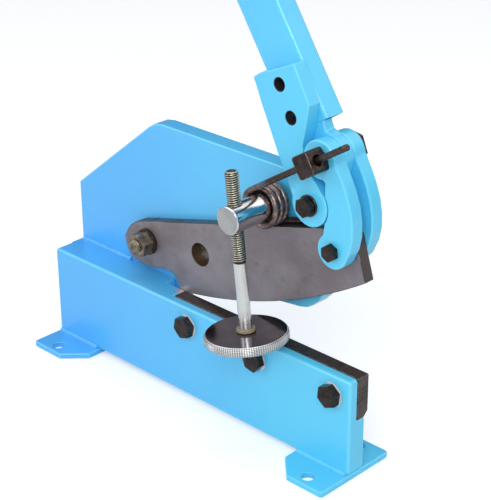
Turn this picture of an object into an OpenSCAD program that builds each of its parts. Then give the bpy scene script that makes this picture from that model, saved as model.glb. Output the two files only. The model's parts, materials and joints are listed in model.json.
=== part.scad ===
// Bench lever shear, built as separate pieces. Millimetres, +Z up.
// Origin: centre of the four bolt holes, on the underside of the feet.
// +X runs along the base to the blade's free end, +Y runs to the back.

/* [Base] */
// Length of the base, over the feet
base_length = 345; // [335:1:360]
// Height of the front plate
plate_height = 82; // [78:1:86]
// Thickness of the front plate
plate_thick = 18; // [17:0.5:20]
// Width of a foot, along the base
foot_width = 54; // [48:1:60]
// Depth of a foot, front to back
foot_depth = 80; // [78:1:96]
// Thickness of a foot
foot_thick = 5; // [4:0.5:8]
// Cut corner of a foot
foot_corner = 18.5; // [8:0.5:22]
// Diameter of the bolt holes in the feet
bolt_hole_d = 11; // [9:0.5:13]
// Distance of a bolt hole from the base's end
bolt_inset_x = 22.5; // [18:0.5:27]
// Distance of a bolt hole from the foot's front or back edge
bolt_inset_y = 10; // [9:0.5:14]

/* [Frame plate] */
// Thickness of the back plate
back_thick = 16; // [12:0.5:20]
// Height of the back plate's top edge
back_height = 223.3; // [218:0.1:228]
// Height where the back plate's left corner is cut off
shoulder_height = 142; // [120:1:160]
// Distance from the left end to the end of that cut
shoulder_run = 102; // [80:1:110]
// Radius of the arm's round end
arm_end_r = 17; // [14:0.5:17]
// Gap between neighbouring plates
plate_gap = 0.2; // [0.15:0.05:0.4]

/* [Blades] */
// Length of the lower blade
lower_length = 200; // [196:1:204]
// Height of the lower blade
lower_height = 36; // [32:1:42]
// Thickness of the lower blade
lower_thick = 12; // [11:0.5:13]
// Distance between the lower blade's screws
screw_pitch = 79; // [74:1:82]
// Diameter of the lower blade's screws
screw_d = 12; // [10:1:13]
// Thickness of the upper blade
blade_thick = 10; // [8:0.5:11]
// Radius of the bowed cutting edge
bow_r = 492; // [480:1:560]
// Diameter of the hole for cutting round bar
bar_hole_d = 20; // [14:0.5:22]
// Distance of the bar hole from the blade pivot
bar_hole_reach = 63.2; // [58:0.2:70]
// Blade pivot, along the base
pivot_x = -72; // [-74:0.5:-70]
// Blade pivot, above the floor
pivot_z = 118.5; // [117:0.5:120]
// Diameter of the blade pivot bolt
pivot_d = 16; // [14:1:18]

/* [Toggle] */
// Lever pivot, along the base
lever_x = 120.4; // [119:0.2:122]
// Lever pivot, above the floor
lever_z = 212.6; // [211:0.2:215]
// Diameter of the lever pivot bolt
lever_bolt_d = 10; // [8:0.5:11]
// Distance between the lever pivot and the upper link pin
crank = 38.9; // [38:0.1:40]
// Direction of the upper link pin, from the lever pivot
crank_angle = 77.1; // [75:0.1:79]
// Distance between the link's two holes
link_span = 69.6; // [68:0.2:72]
// Direction of the link, from its upper pin
link_angle = -78.4; // [-80:0.1:-77]
// Thickness of a link
link_thick = 12; // [9:0.5:12]
// Radius of the link's upper end
link_top_r = 15; // [13:0.2:15]
// Radius of the link's lower end
link_low_r = 14; // [12:0.2:15]
// Diameter of the upper link pin
pin_d = 18; // [16:0.5:20]
// Diameter of the lower link bolt
link_bolt_d = 8; // [6:0.5:9]

/* [Lever] */
// Radius of the lever's hub
hub_r = 17; // [15:0.2:17.4]
// Width of the handle tube
tube_width = 40; // [34:1:42]
// Depth of the handle tube
tube_depth = 20; // [14:1:24]
// Wall of the handle tube
tube_wall = 2.5; // [1.5:0.1:4]
// Corner radius of the handle tube
tube_corner = 4; // [3:0.2:6]
// Length of the handle tube
tube_length = 430; // [300:5:560]
// Lean of the handle tube to the left
tube_lean = 33; // [31:0.5:35]
// Diameter of the two spare holes in the cheek
cheek_hole_d = 10; // [7:0.5:12]

/* [Spring] */
// Thickness of the spring's wire
wire_d = 5; // [4.4:0.1:5.2]
// Radius of the coil, at the middle of the wire
coil_r = 15; // [14.6:0.1:15.6]
// Distance from one curl to the next
coil_pitch = 5.55; // [5.5:0.05:6]
// Length of wire past the swivel block
wire_past = 40; // [28:1:50]
// Width of the swivel block
block_width = 16; // [14:0.5:20]
// Height of the swivel block
block_height = 18; // [16:0.5:22]
// Depth of the swivel block
block_depth = 17; // [14:0.5:22]

/* [Hold-down] */
// Diameter of the cross rod
rod_d = 22.5; // [18:0.5:22.5]
// Cross rod, along the base
rod_x = 69; // [66:0.5:70]
// Cross rod, above the floor
rod_z = 195; // [194.6:0.2:197]
// How far the cross rod stands out in front of the back plate
rod_reach = 55.9; // [53.4:0.5:60]
// Diameter of the hold-down screw
clamp_d = 11; // [9:0.5:12]
// Tilt of the hold-down screw
clamp_tilt = 6.5; // [3:0.5:7]
// Screw above the cross rod
clamp_above = 37; // [30:1:60]
// Screw between the cross rod and the disc's underside
clamp_below = 100.7; // [98:0.1:101.5]
// Threaded length of the screw
clamp_thread = 72; // [66:1:80]
// Diameter of the pressure disc
disc_d = 67; // [50:1:68]
// Thickness of the pressure disc
disc_thick = 8; // [6:0.5:12]

/* [Hidden] */
$fn = 64;
run = 0.05;
plate_top = foot_thick + plate_height;
plate_front = -plate_thick / 2;
plate_back = plate_thick / 2;
shear_y = plate_back + 3;
front_y0 = shear_y - link_thick;
blade_y0 = shear_y + plate_gap;
blade_y1 = blade_y0 + blade_thick;
back_y0 = blade_y1 + plate_gap;
back_y1 = back_y0 + back_thick;
rear_y1 = back_y0 + link_thick;
left = -base_length / 2;
right = base_length / 2;
corner_r = 3;
bolt_span_x = base_length - 2 * bolt_inset_x;
bolt_span_y = foot_depth - 2 * bolt_inset_y;
front_thick = plate_top - foot_thick;
o2 = [pivot_x, pivot_z];
o1 = [lever_x, lever_z];
pin_a = o1 + crank * [cos(crank_angle), sin(crank_angle)];
pin_b = pin_a + link_span * [cos(link_angle), sin(link_angle)];
blade_reach = norm(pin_b - o2);
blade_angle = atan2(pin_b[1] - o2[1], pin_b[0] - o2[0]);
bar_hole_drop = 10.4;
bar_hole = o2 + turned([bar_hole_reach, -bar_hole_drop], blade_angle);
lower_x0 = right - lower_length;
lower_z0 = plate_top - lower_height;
seat_y = shear_y - lower_thick;
screw_inset = 98;
screw_drop = 17;
screw_mid = right - screw_inset;
screw_z = plate_top - screw_drop;
spacer_step = 22;
notch_x = pivot_x + spacer_step;
screw_af = 17;
screw_head_h = 6;
pivot_af = 19;
pivot_nut_h = 10.8;
pivot_head_af = 24;
pivot_thread_d = pivot_d - 4;
washer_h = 3;
washer_r = 11.5;
rear_washer_r = 15;
lever_af = 14;
lever_head_h = 5.5;
link_af = 12;
link_head_h = 5;
rod = [rod_x, rod_z];
rod_thread_d = rod_d - 6;
rod_edge = 0.6;
rod_front = back_y0 - rod_reach;
clamp_y = rod_front + 9;
disc_edge = 1.2;
ring_h = 2.5;
shank_d = clamp_d - 0.8;
ring_r = clamp_d / 2 + 2;
block_y1 = front_y0 - 0.4;
block_mid = block_y1 - block_depth / 2;
spigot_d = 10;
spigot_l = 18;
arm_gap = norm(pin_a - rod);
arm_angle = atan2(pin_a[1] - rod[1], pin_a[0] - rod[0]) - asin(coil_r / arm_gap);
arm_reach = sqrt(arm_gap * arm_gap - coil_r * coil_r);
block_hole_d = wire_d + 3.8;
leg_angle = blade_angle - 1;
leg_reach = 30;
leg_bend = 5;
leg_depth = 8;
leg_y = back_y0 - wire_d / 2 - 0.3;
curls = 3 + (leg_angle - arm_angle + 180) / 360;
rings_per_curl = 8;
wire_sides = 6;

function turned(p, a) = [p[0] * cos(a) - p[1] * sin(a), p[0] * sin(a) + p[1] * cos(a)];

// A flat profile in X and Z, standing between two depths.
module slab(y0, y1) {
    translate([0, y1, 0])
        rotate([90, 0, 0])
            linear_extrude(y1 - y0)
                children();
}

// A round bar along Y.
module bar(p, y0, y1, r) {
    translate([p[0], y0, p[1]])
        rotate([-90, 0, 0])
            cylinder(r = r, h = y1 - y0);
}

// A hexagon along Y, across its flats.
module hexagon(p, y0, y1, across, turn) {
    translate([p[0], y0, p[1]])
        rotate([-90, turn, 0])
            cylinder(d = across / cos(30), h = y1 - y0, $fn = 6);
}

// A hexagon head or nut with its corners taken off on one end.
module hex_nut(p, y0, y1, across, turn) {
    intersection() {
        hexagon(p, y0, y1, across, turn);
        translate([p[0], y0, p[1]])
            rotate([-90, 0, 0])
                union() {
                    cylinder(d1 = across * 0.96, d2 = across * 1.2, h = across * 0.08);
                    translate([0, 0, across * 0.08])
                        cylinder(d = across * 1.2, h = y1 - y0 - across * 0.08);
                }
    }
}

module disc_at(p, r) {
    translate(p)
        circle(r = r);
}

// A rectangle with round corners, about its middle.
module soft_square(w, h, r) {
    square([w - 2 * r, h], center = true);
    square([w, h - 2 * r], center = true);
    for (sx = [-1, 1])
        for (sy = [-1, 1])
            translate([sx * (w / 2 - r), sy * (h / 2 - r)])
                circle(r = r);
}

// Base and frame.

module front_plate() {
    color([0.35, 0.72, 0.9])
        difference() {
            slab(plate_front, plate_back)
                translate([0, foot_thick + front_thick / 2])
                    soft_square(base_length, front_thick, corner_r);
            translate([lower_x0, seat_y, lower_z0])
                cube([lower_length + 5, plate_thick, lower_height + 5]);
            for (i = [-1 : 1])
                bar([screw_mid + i * screw_pitch, screw_z], plate_front - 1, plate_back + 1, screw_d / 2);
        }
}

module spacer_block() {
    color([0.35, 0.72, 0.9]) {
        translate([left, plate_back, foot_thick])
            cube([notch_x - left, back_y0 - plate_back, front_thick]);
        translate([notch_x, plate_back, foot_thick])
            cube([lower_x0 - notch_x, shear_y - plate_back, front_thick]);
    }
}

module back_profile() {
    polygon([
        [lower_x0 - 18, foot_thick],
        [lower_x0 - 18, plate_top - 24],
        [lower_x0 - 16, plate_top - 8],
        [lower_x0 - 10, plate_top + 4],
        [lower_x0 - 3, plate_top + 10],
        [lever_x - 48, lever_z - 104.3],
        [lever_x - 28, lever_z - 101.8],
        [lever_x - 20, lever_z - 99.5],
        [lever_x - 14, lever_z - 95.5],
        [lever_x - 8, lever_z - 89.5],
        [lever_x - 4.2, lever_z - 83],
        [lever_x - 3.5, lever_z - 76],
        [lever_x - 8, lever_z - 50],
        [lever_x - 9.5, lever_z - 27],
        [lever_x - 7.5, lever_z - 21.5],
        [lever_x + 4.2, lever_z - arm_end_r + 0.6],
        [lever_x, lever_z + arm_end_r],
        [lever_x - 12, back_height],
        [left + shoulder_run + 9, back_height],
        [left + shoulder_run, back_height - 1.5],
        [left + shoulder_run - 8, back_height - 6.5],
        [left, shoulder_height],
        [left, foot_thick]
    ]);
    disc_at(o1, arm_end_r);
}

module back_plate() {
    color([0.35, 0.72, 0.9])
        difference() {
            slab(back_y0, back_y1)
                back_profile();
            bar(o1, back_y0 - 1, back_y1 + 1, lever_bolt_d / 2);
            bar(o2, back_y0 - 1, back_y1 + 1, pivot_d / 2);
            bar(bar_hole, back_y0 - 1, back_y1 + 1, bar_hole_d / 2);
            bar(rod, back_y0 - 1, back_y1 + 1, rod_thread_d / 2 + run);
            bar(leg_tip(), back_y0 - 1, back_y0 + leg_depth + 1, wire_d / 2 + 0.6);
        }
}

module foot(side) {
    difference() {
        linear_extrude(foot_thick)
            difference() {
                translate([side * (base_length - foot_width) / 2, 0])
                    soft_square(foot_width, foot_depth, corner_r);
                translate([side * (base_length / 2 - foot_width), -foot_depth / 2])
                    rotate(45)
                        square(foot_corner * sqrt(2), center = true);
            }
        for (sy = [-1, 1])
            translate([side * bolt_span_x / 2, sy * bolt_span_y / 2, -1])
                cylinder(d = bolt_hole_d, h = foot_thick + 2);
    }
}

module left_foot() {
    color([0.35, 0.72, 0.9])
        foot(-1);
}

module right_foot() {
    color([0.35, 0.72, 0.9])
        foot(1);
}

// Blades.

module lower_blade() {
    chamfer = 3;
    color([0.2, 0.17, 0.15])
        difference() {
            translate([lower_x0, seat_y, lower_z0])
                cube([lower_length, lower_thick, lower_height]);
            translate([lower_x0 - 1, shear_y, lower_z0])
                rotate([45, 0, 0])
                    translate([0, -chamfer, -chamfer])
                        cube([lower_length + 2, 2 * chamfer, 2 * chamfer]);
            for (i = [-1 : 1])
                bar([screw_mid + i * screw_pitch, screw_z], seat_y - 1, shear_y - 1.5, screw_d / 2);
        }
}

module blade_screws() {
    color([0.1, 0.1, 0.1])
        for (i = [-1 : 1]) {
            place = [screw_mid + i * screw_pitch, screw_z];
            hex_nut(place, plate_front - screw_head_h, plate_front, screw_af, 10 + 25 * i);
            bar(place, plate_front - 2, shear_y - 1.5, screw_d / 2);
        }
}

// The upper blade's outline, from its pivot towards the link.
module blade_profile() {
    end = blade_reach + 15.7;
    top = blade_reach - 12.5;
    bow = [99.1, bow_r - 48.5];
    root = [-5.5, -1.5];
    hook = [13.5, -37.2];
    hook_r = 13;
    intersection() {
        disc_at(root, 25);
        polygon([
            [-40, -6],
            [-29, -12.3],
            [-23.5, -16.4],
            [-17.8, -19.4],
            [-11.8, -21.5],
            [-5.5, -22.7],
            [2, -23.3],
            [hook[0], hook[1] + hook_r],
            [60, hook[1] + hook_r],
            [60, 17.1],
            [root[0], 18],
            [-11.5, 17],
            [-18.1, 14.6],
            [-23.2, 11.4],
            [-27.5, 6.5],
            [-40, 0]
        ]);
    }
    intersection() {
        difference() {
            polygon([
                [root[0], root[1] - 21.5],
                [hook[0], hook[1] + hook_r],
                [hook[0], hook[1]],
                [hook[0] + hook_r, hook[1]],
                [hook[0] + hook_r, -60],
                [end, -60],
                [end - 0.8, 8],
                [end - 3, 10.2],
                [top, 14.2],
                [root[0], 18]
            ]);
            disc_at(hook, hook_r);
        }
        translate(bow)
            circle(r = bow_r, $fn = 720);
    }
}

module upper_blade() {
    color([0.62, 0.58, 0.6])
        difference() {
            slab(blade_y0, blade_y1)
                translate(o2)
                    rotate(blade_angle)
                        blade_profile();
            bar(o2, blade_y0 - 1, blade_y1 + 1, pivot_d / 2 + run);
            bar(pin_b, blade_y0 - 1, blade_y1 + 1, link_bolt_d / 2 + 2);
            bar(bar_hole, blade_y0 - 1, blade_y1 + 1, bar_hole_d / 2);
        }
}

module blade_link_bush() {
    color([0.3, 0.28, 0.26])
        bar(pin_b, blade_y0, blade_y1, link_bolt_d / 2 + 2);
}

module blade_pivot_bolt() {
    end_y = blade_y0 - washer_h - pivot_nut_h - 3;
    color([0.35, 0.3, 0.22]) {
        bar(o2, blade_y0, back_y1 + washer_h + 2, pivot_d / 2);
        bar(o2, end_y + 1.5, blade_y0 + 2, pivot_thread_d / 2);
        translate([o2[0], end_y, o2[1]])
            rotate([-90, 0, 0])
                cylinder(d1 = pivot_thread_d - 3, d2 = pivot_thread_d, h = 1.5);
        hexagon(o2, back_y1 + washer_h, back_y1 + washer_h + 10, pivot_head_af, 0);
    }
}

module blade_pivot_nut() {
    y1 = blade_y0 - washer_h;
    color([0.4, 0.36, 0.26])
        difference() {
            hex_nut(o2, y1 - pivot_nut_h, y1, pivot_af, 12);
            bar(o2, y1 - pivot_nut_h - 1, y1 + 1, pivot_thread_d / 2);
        }
}

module ring_washer(p, y0, r, hole) {
    difference() {
        bar(p, y0, y0 + washer_h, r);
        bar(p, y0 - 1, y0 + washer_h + 1, hole);
    }
}

module blade_pivot_washer() {
    color([0.25, 0.22, 0.18])
        ring_washer(o2, blade_y0 - washer_h, washer_r, pivot_thread_d / 2);
}

module blade_pivot_rear_washer() {
    color([0.25, 0.22, 0.18])
        ring_washer(o2, back_y1, rear_washer_r, pivot_d / 2);
}

// Links.

module link_profile() {
    a = pin_a;
    b = pin_b;
    difference() {
        union() {
            disc_at(a, link_top_r);
            disc_at(b, link_low_r);
            polygon([
                a + [-link_top_r + 2, 0],
                a + [-9, -11.5],
                a + [6, -15],
                a + [6, -55],
                b + [-8.5, 11],
                b + [-12.6, 4],
                b + [-link_low_r, 0],
                b + [0, -link_low_r + 1],
                b + [13, -5],
                b + [17, 4],
                b + [19.2, 15],
                a + [32.9, -42],
                a + [30.8, -31],
                a + [26.6, -19.5],
                a + [21.5, -9.5],
                a + [15.6, 0],
                a + [8, link_top_r - 2.4],
                a + [-0.5, link_top_r - 0.5]
            ]);
        }
        disc_at(o1, hub_r + 1.1);
        polygon([
            o1 + [-20, -20],
            o1 + [6.2, -27],
            o1 + [9.4, -19.6],
            o1 + [13.2, -13.4],
            o1 + [17, -4],
            o1 + [16.6, 6],
            o1 + [10.3, 16],
            o1 + [4.2, 19.6],
            o1 + [-4, 26],
            o1
        ]);
    }
}

module front_link() {
    color([0.35, 0.72, 0.9])
        difference() {
            slab(front_y0, shear_y)
                link_profile();
            bar(pin_a, front_y0 - 1, shear_y + 1, pin_d / 2 + run);
            bar(pin_b, front_y0 - 1, shear_y + 1, link_bolt_d / 2);
        }
}

module rear_link() {
    color([0.35, 0.72, 0.9])
        difference() {
            slab(back_y0, rear_y1)
                link_profile();
            bar(pin_a, back_y0 - 1, rear_y1 + 1, pin_d / 2 + run);
            bar(pin_b, back_y0 - 1, rear_y1 + 1, link_bolt_d / 2);
        }
}

module link_lower_bolt() {
    color([0.1, 0.1, 0.1]) {
        hex_nut(pin_b, front_y0 - link_head_h, front_y0, link_af, 20);
        bar(pin_b, front_y0 - 2, shear_y, link_bolt_d / 2);
    }
}

module link_lower_nut() {
    color([0.1, 0.1, 0.1]) {
        bar(pin_b, back_y0, rear_y1 + 2, link_bolt_d / 2);
        hexagon(pin_b, rear_y1, rear_y1 + 6.5, link_af, 5);
    }
}

module link_upper_pin() {
    color([0.3, 0.28, 0.26])
        difference() {
            bar(pin_a, front_y0 - 0.1, rear_y1 + 5, pin_d / 2);
            bar(pin_a, front_y0 - 1, front_y0 + spigot_l + 1, spigot_d / 2 + run);
        }
}

module link_upper_nut() {
    color([0.1, 0.1, 0.1])
        difference() {
            hexagon(pin_a, rear_y1 + plate_gap, rear_y1 + 4.4, pin_d + 6, 8);
            bar(pin_a, rear_y1, rear_y1 + 5, pin_d / 2);
        }
}

// Lever.

tube_axis = [-sin(tube_lean), cos(tube_lean)];
tube_side = [cos(tube_lean), sin(tube_lean)];
tube_offset = [-3.4, 27.8];
tube_corner_at = pin_a + tube_offset;
tube_foot = tube_corner_at - tube_side * tube_width / 2;

module lever_cheek() {
    a = pin_a;
    half = tube_width / 2;
    lip = [
        [half + 2.5, 44.5],
        [half - 11.4, 46.6],
        [-2, 48.5],
        [11 - half, 50.3],
        [5.2 - half, 50.6],
        [-half - 1.2, 50.2]
    ];
    top = [for (q = lip) tube_foot + tube_side * q[0] + tube_axis * q[1]];
    color([0.35, 0.72, 0.9])
        difference() {
            slab(front_y0, blade_y0)
                difference() {
                    union() {
                        disc_at(o1, hub_r);
                        polygon(concat([
                            o1 + [-53.5, 79.2],
                            o1 + [-48.5, 67.3],
                            o1 + [-40.4, 50.7],
                            o1 + [-32.2, 33.2],
                            o1 + [-25.6, 22],
                            o1 + [hub_r * cos(170), hub_r * sin(170)],
                            o1,
                            o1 + [hub_r * cos(50), hub_r * sin(50)],
                            a + [-4, -17.5],
                            a + [-12, -11],
                            a + [-15.9, 6],
                            a + [-14.2, 15],
                            a + [-10.1, 38.5]
                        ], top));
                    }
                    disc_at(a, link_top_r + 1);
                }
            bar(o1, front_y0 - 1, blade_y0 + 1, lever_bolt_d / 2 + run);
            spare_holes();
        }
}

// The two spare holes, through the cheek and the tube's front wall.
module spare_holes() {
    for (at = [[-39, 47.8], [-27.5, 25.1]])
        bar(pin_a + at, front_y0 - 1, blade_y0 + tube_wall + 1.5, cheek_hole_d / 2);
}

module lever_inner_plate() {
    a = pin_a;
    color([0.35, 0.72, 0.9])
        difference() {
            slab(blade_y0, blade_y1)
                union() {
                    disc_at(o1, hub_r - 1);
                    disc_at(a, link_top_r);
                    polygon([
                        tube_corner_at - tube_side * tube_width,
                        o1 + [(hub_r - 1) * cos(170), (hub_r - 1) * sin(170)],
                        o1,
                        o1 + [(hub_r - 1) * cos(10), (hub_r - 1) * sin(10)],
                        a + [link_top_r * cos(-20), link_top_r * sin(-20)],
                        a,
                        a + [link_top_r * cos(50), link_top_r * sin(50)],
                        tube_corner_at + [-1.2, -10],
                        tube_corner_at - tube_side * 5
                    ]);
                }
            bar(o1, blade_y0 - 1, blade_y1 + 1, lever_bolt_d / 2 + run);
            bar(a, blade_y0 - 1, blade_y1 + 1, pin_d / 2);
        }
}

module along_tube(start) {
    translate([tube_foot[0], blade_y0 + tube_depth / 2, tube_foot[1]])
        rotate([0, -tube_lean, 0])
            translate([0, 0, start])
                children();
}

module lever_tube() {
    color([0.35, 0.72, 0.9])
        difference() {
            along_tube(0)
                linear_extrude(tube_length)
                    difference() {
                        soft_square(tube_width, tube_depth, tube_corner);
                        soft_square(tube_width - 2 * tube_wall, tube_depth - 2 * tube_wall,
                            tube_corner - tube_wall + 0.6);
                    }
            spare_holes();
        }
}

module handle_cap() {
    plug_w = tube_width - 2 * tube_wall;
    plug_d = tube_depth - 2 * tube_wall;
    color([0.12, 0.12, 0.13]) {
        along_tube(tube_length)
            linear_extrude(4)
                soft_square(tube_width, tube_depth, tube_corner);
        along_tube(tube_length - 14)
            linear_extrude(14)
                soft_square(plug_w - 0.2, plug_d - 0.2, tube_corner - tube_wall + 0.6);
    }
}

module lever_pivot_bolt() {
    head_y1 = front_y0 - plate_gap - washer_h / 2;
    color([0.1, 0.1, 0.1]) {
        hex_nut(o1, head_y1 - lever_head_h, head_y1, lever_af, 25);
        bar(o1, head_y1 - 2, back_y1 + 11, lever_bolt_d / 2);
    }
}

module lever_pivot_washer() {
    y0 = front_y0 - plate_gap - washer_h / 2;
    color([0.2, 0.2, 0.2])
        difference() {
            bar(o1, y0, front_y0 - plate_gap, lever_af / 2 + 1.5);
            bar(o1, y0 - 1, front_y0, lever_bolt_d / 2);
        }
}

module lever_pivot_nut() {
    color([0.1, 0.1, 0.1])
        difference() {
            hexagon(o1, back_y1, back_y1 + 10, lever_af, 15);
            bar(o1, back_y1 - 1, back_y1 + 11, lever_bolt_d / 2);
        }
}

// Spring.

module swivel_block() {
    color([0.1, 0.1, 0.1]) {
        difference() {
            slab(block_y1 - block_depth, block_y1)
                translate(pin_a)
                    rotate(arm_angle)
                        soft_square(block_width, block_height, 2.5);
            translate([pin_a[0], block_mid, pin_a[1]])
                rotate([0, 90 - arm_angle, 0])
                    cylinder(d = block_hole_d, h = 2 * block_width, center = true);
        }
        bar(pin_a, block_y1 - 2, front_y0 + spigot_l, spigot_d / 2);
    }
}

// Points of the wire: past the block, along the arm, round the coil, along the leg.
function coil_y(t) = coil_front + coil_pitch * t;
coil_front = leg_y - coil_pitch * curls;
function wire_start() = rod + turned([arm_reach + wire_past, coil_r], arm_angle);
function arm_at(d) = rod + turned([d, coil_r], arm_angle);
function coil_at(t) = rod + turned([0, coil_r], arm_angle + 360 * t);
function leg_at(d) = rod + turned([d, -coil_r], leg_angle);
function leg_tip() = leg_at(leg_reach + leg_bend);

wire_points = concat(
    [for (d = [arm_reach + wire_past, arm_reach + 8, arm_reach - 12, arm_reach - 40])
        [arm_at(d)[0], block_mid, arm_at(d)[1]]],
    [for (s = [1 : 3])
        let (d = (arm_reach - 40) * (1 - s / 3) + 6 * s / 3, f = (1 - cos(180 * s / 3)) / 2)
        [arm_at(d)[0], block_mid + (coil_front - block_mid) * f, arm_at(d)[1]]],
    [for (i = [0 : ceil(curls * rings_per_curl)])
        let (t = curls * i / ceil(curls * rings_per_curl))
        [coil_at(t)[0], coil_y(t), coil_at(t)[1]]],
    [for (d = [leg_reach * 0.5, leg_reach])
        [leg_at(d)[0], leg_y, leg_at(d)[1]]],
    [[leg_at(leg_reach + leg_bend - 1.6)[0], leg_y + 0.5, leg_at(leg_reach + leg_bend - 1.6)[1]],
        [leg_tip()[0], leg_y + 2, leg_tip()[1]],
        [leg_tip()[0], back_y0 + wire_d * 0.5, leg_tip()[1]],
        [leg_tip()[0], back_y0 + leg_depth, leg_tip()[1]]]
);

function unit(v) = v / norm(v);
function tangents(p) = [for (i = [0 : len(p) - 1])
    unit(p[min(i + 1, len(p) - 1)] - p[max(i - 1, 0)])];
function square_to(v, t) = unit(v - t * (v * t));
function frames(t, i, n) = i == len(t) ? [] : concat([square_to(n, t[i])], frames(t, i + 1, square_to(n, t[i])));

// One unbroken tube along the points.
module wire(p, r, sides) {
    t = tangents(p);
    n = frames(t, 0, [0, 1, 0.02]);
    rings = [for (i = [0 : len(p) - 1])
        let (b = cross(t[i], n[i]))
        for (k = [0 : sides - 1])
            p[i] + r * (n[i] * cos(360 * k / sides) + b * sin(360 * k / sides))];
    body = [for (i = [0 : len(p) - 2])
        for (k = [0 : sides - 1])
            for (h = [0, 1])
                let (a = i * sides + k, c = i * sides + (k + 1) % sides)
                h == 0 ? [a, c, c + sides] : [a, c + sides, a + sides]];
    front = [for (k = [1 : sides - 2]) [0, k + 1, k]];
    last = (len(p) - 1) * sides;
    back = [for (k = [1 : sides - 2]) [last, last + k, last + k + 1]];
    polyhedron(points = rings, faces = concat(body, front, back));
}

// Least gap between one curl and the next, measured on the points.
coil_first = 7;
coil_count = ceil(curls * rings_per_curl);
curl_gaps = [for (i = [0 : coil_count])
    for (j = [i + 5 : 1 : coil_count])
        norm(wire_points[coil_first + i] - wire_points[coil_first + j]) - wire_d];
echo(least_gap_of_spring = min(curl_gaps));

module torsion_spring() {
    color([0.25, 0.18, 0.12])
        wire(wire_points, wire_d / 2, wire_sides);
}

// Hold-down.

module cross_rod() {
    color([0.85, 0.85, 0.87])
        difference() {
            union() {
                bar(rod, rod_front + rod_edge, back_y0 - 0.1, rod_d / 2);
                translate([rod[0], rod_front, rod[1]])
                    rotate([-90, 0, 0])
                        cylinder(d1 = rod_d - 2 * rod_edge, d2 = rod_d, h = rod_edge);
                bar(rod, back_y0 - 2, back_y1 + 15, rod_thread_d / 2);
            }
            clamp_axis()
                cylinder(d = clamp_d + 2 * run, h = 2 * rod_d, center = true);
        }
}

module cross_rod_nut() {
    color([0.1, 0.1, 0.1])
        difference() {
            hexagon(rod, back_y1 + 0.1, back_y1 + 13, 24, 4);
            bar(rod, back_y1, back_y1 + 16, rod_thread_d / 2);
        }
}

// Along the hold-down screw, upwards from the cross rod.
module clamp_axis() {
    translate([rod[0], clamp_y, rod[1]])
        rotate([0, -clamp_tilt, 0])
            children();
}

module holddown_screw() {
    color([0.7, 0.66, 0.5])
        clamp_axis() {
            translate([0, 0, -clamp_below + 3])
                cylinder(d = shank_d, h = clamp_below - 3 + clamp_above - clamp_thread + 2);
            translate([0, 0, clamp_above - clamp_thread])
                cylinder(d = clamp_d, h = clamp_thread);
        }
}

module shank_ring() {
    color([0.6, 0.5, 0.38])
        clamp_axis()
            translate([0, 0, -clamp_below + disc_thick + 0.3])
                difference() {
                    cylinder(r = ring_r, h = ring_h);
                    translate([0, 0, -1])
                        cylinder(d = shank_d + 2 * run, h = ring_h + 2);
                }
}

module pressure_disc() {
    color([0.85, 0.85, 0.87])
        clamp_axis()
            translate([0, 0, -clamp_below])
                difference() {
                    union() {
                        cylinder(d1 = disc_d - 2 * disc_edge, d2 = disc_d, h = disc_edge);
                        translate([0, 0, disc_edge])
                            cylinder(d = disc_d, h = disc_thick - 2 * disc_edge);
                        translate([0, 0, disc_thick - disc_edge])
                            cylinder(d1 = disc_d, d2 = disc_d - 2 * disc_edge, h = disc_edge);
                    }
                    translate([0, 0, 3])
                        cylinder(d = shank_d, h = disc_thick);
                }
}

front_plate();
spacer_block();
back_plate();
left_foot();
right_foot();
lower_blade();
blade_screws();
upper_blade();
blade_link_bush();
blade_pivot_bolt();
blade_pivot_nut();
blade_pivot_washer();
blade_pivot_rear_washer();
front_link();
rear_link();
link_lower_bolt();
link_lower_nut();
link_upper_pin();
link_upper_nut();
lever_cheek();
lever_inner_plate();
lever_tube();
handle_cap();
lever_pivot_bolt();
lever_pivot_washer();
lever_pivot_nut();
swivel_block();
torsion_spring();
cross_rod();
cross_rod_nut();
holddown_screw();
shank_ring();
pressure_disc();
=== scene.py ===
"""Bench lever shear: dressed pieces, finishes and studio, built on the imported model."""

import json
import math

import bmesh
import bpy
from bpy.props import FloatProperty, FloatVectorProperty, IntProperty, PointerProperty
from mathutils import Matrix, Vector
from mathutils.geometry import delaunay_2d_cdt


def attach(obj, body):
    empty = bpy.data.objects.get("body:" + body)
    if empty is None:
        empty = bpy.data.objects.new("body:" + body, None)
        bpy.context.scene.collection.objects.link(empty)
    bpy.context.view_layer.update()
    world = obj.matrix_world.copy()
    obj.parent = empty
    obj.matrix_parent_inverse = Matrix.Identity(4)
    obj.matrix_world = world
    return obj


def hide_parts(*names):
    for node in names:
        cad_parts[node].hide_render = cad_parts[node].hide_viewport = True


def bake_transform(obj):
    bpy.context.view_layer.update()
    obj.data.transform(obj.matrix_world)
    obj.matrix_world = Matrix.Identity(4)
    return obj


bl_info = {
    "name": "Bench Lever Shear",
    "version": (1, 0, 0),
    "blender": (4, 5, 0),
    "location": "View3D > Sidebar > Lever Shear",
    "description": "Dresses the bench lever shear with detailed pieces, finishes and a studio",
    "category": "Object",
}

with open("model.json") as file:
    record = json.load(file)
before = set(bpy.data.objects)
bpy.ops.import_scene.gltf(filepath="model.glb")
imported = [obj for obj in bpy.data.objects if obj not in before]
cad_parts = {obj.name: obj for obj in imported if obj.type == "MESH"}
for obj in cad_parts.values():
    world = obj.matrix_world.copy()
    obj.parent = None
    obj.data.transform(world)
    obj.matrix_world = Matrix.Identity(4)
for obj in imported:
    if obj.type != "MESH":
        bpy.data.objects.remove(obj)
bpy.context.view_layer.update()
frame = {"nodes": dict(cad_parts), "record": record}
BODIES = frame["record"]["behaviour"]["bodies"]
BODY_OF = {node: body for body, nodes in BODIES.items() for node in nodes}
MM = 0.001

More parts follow.
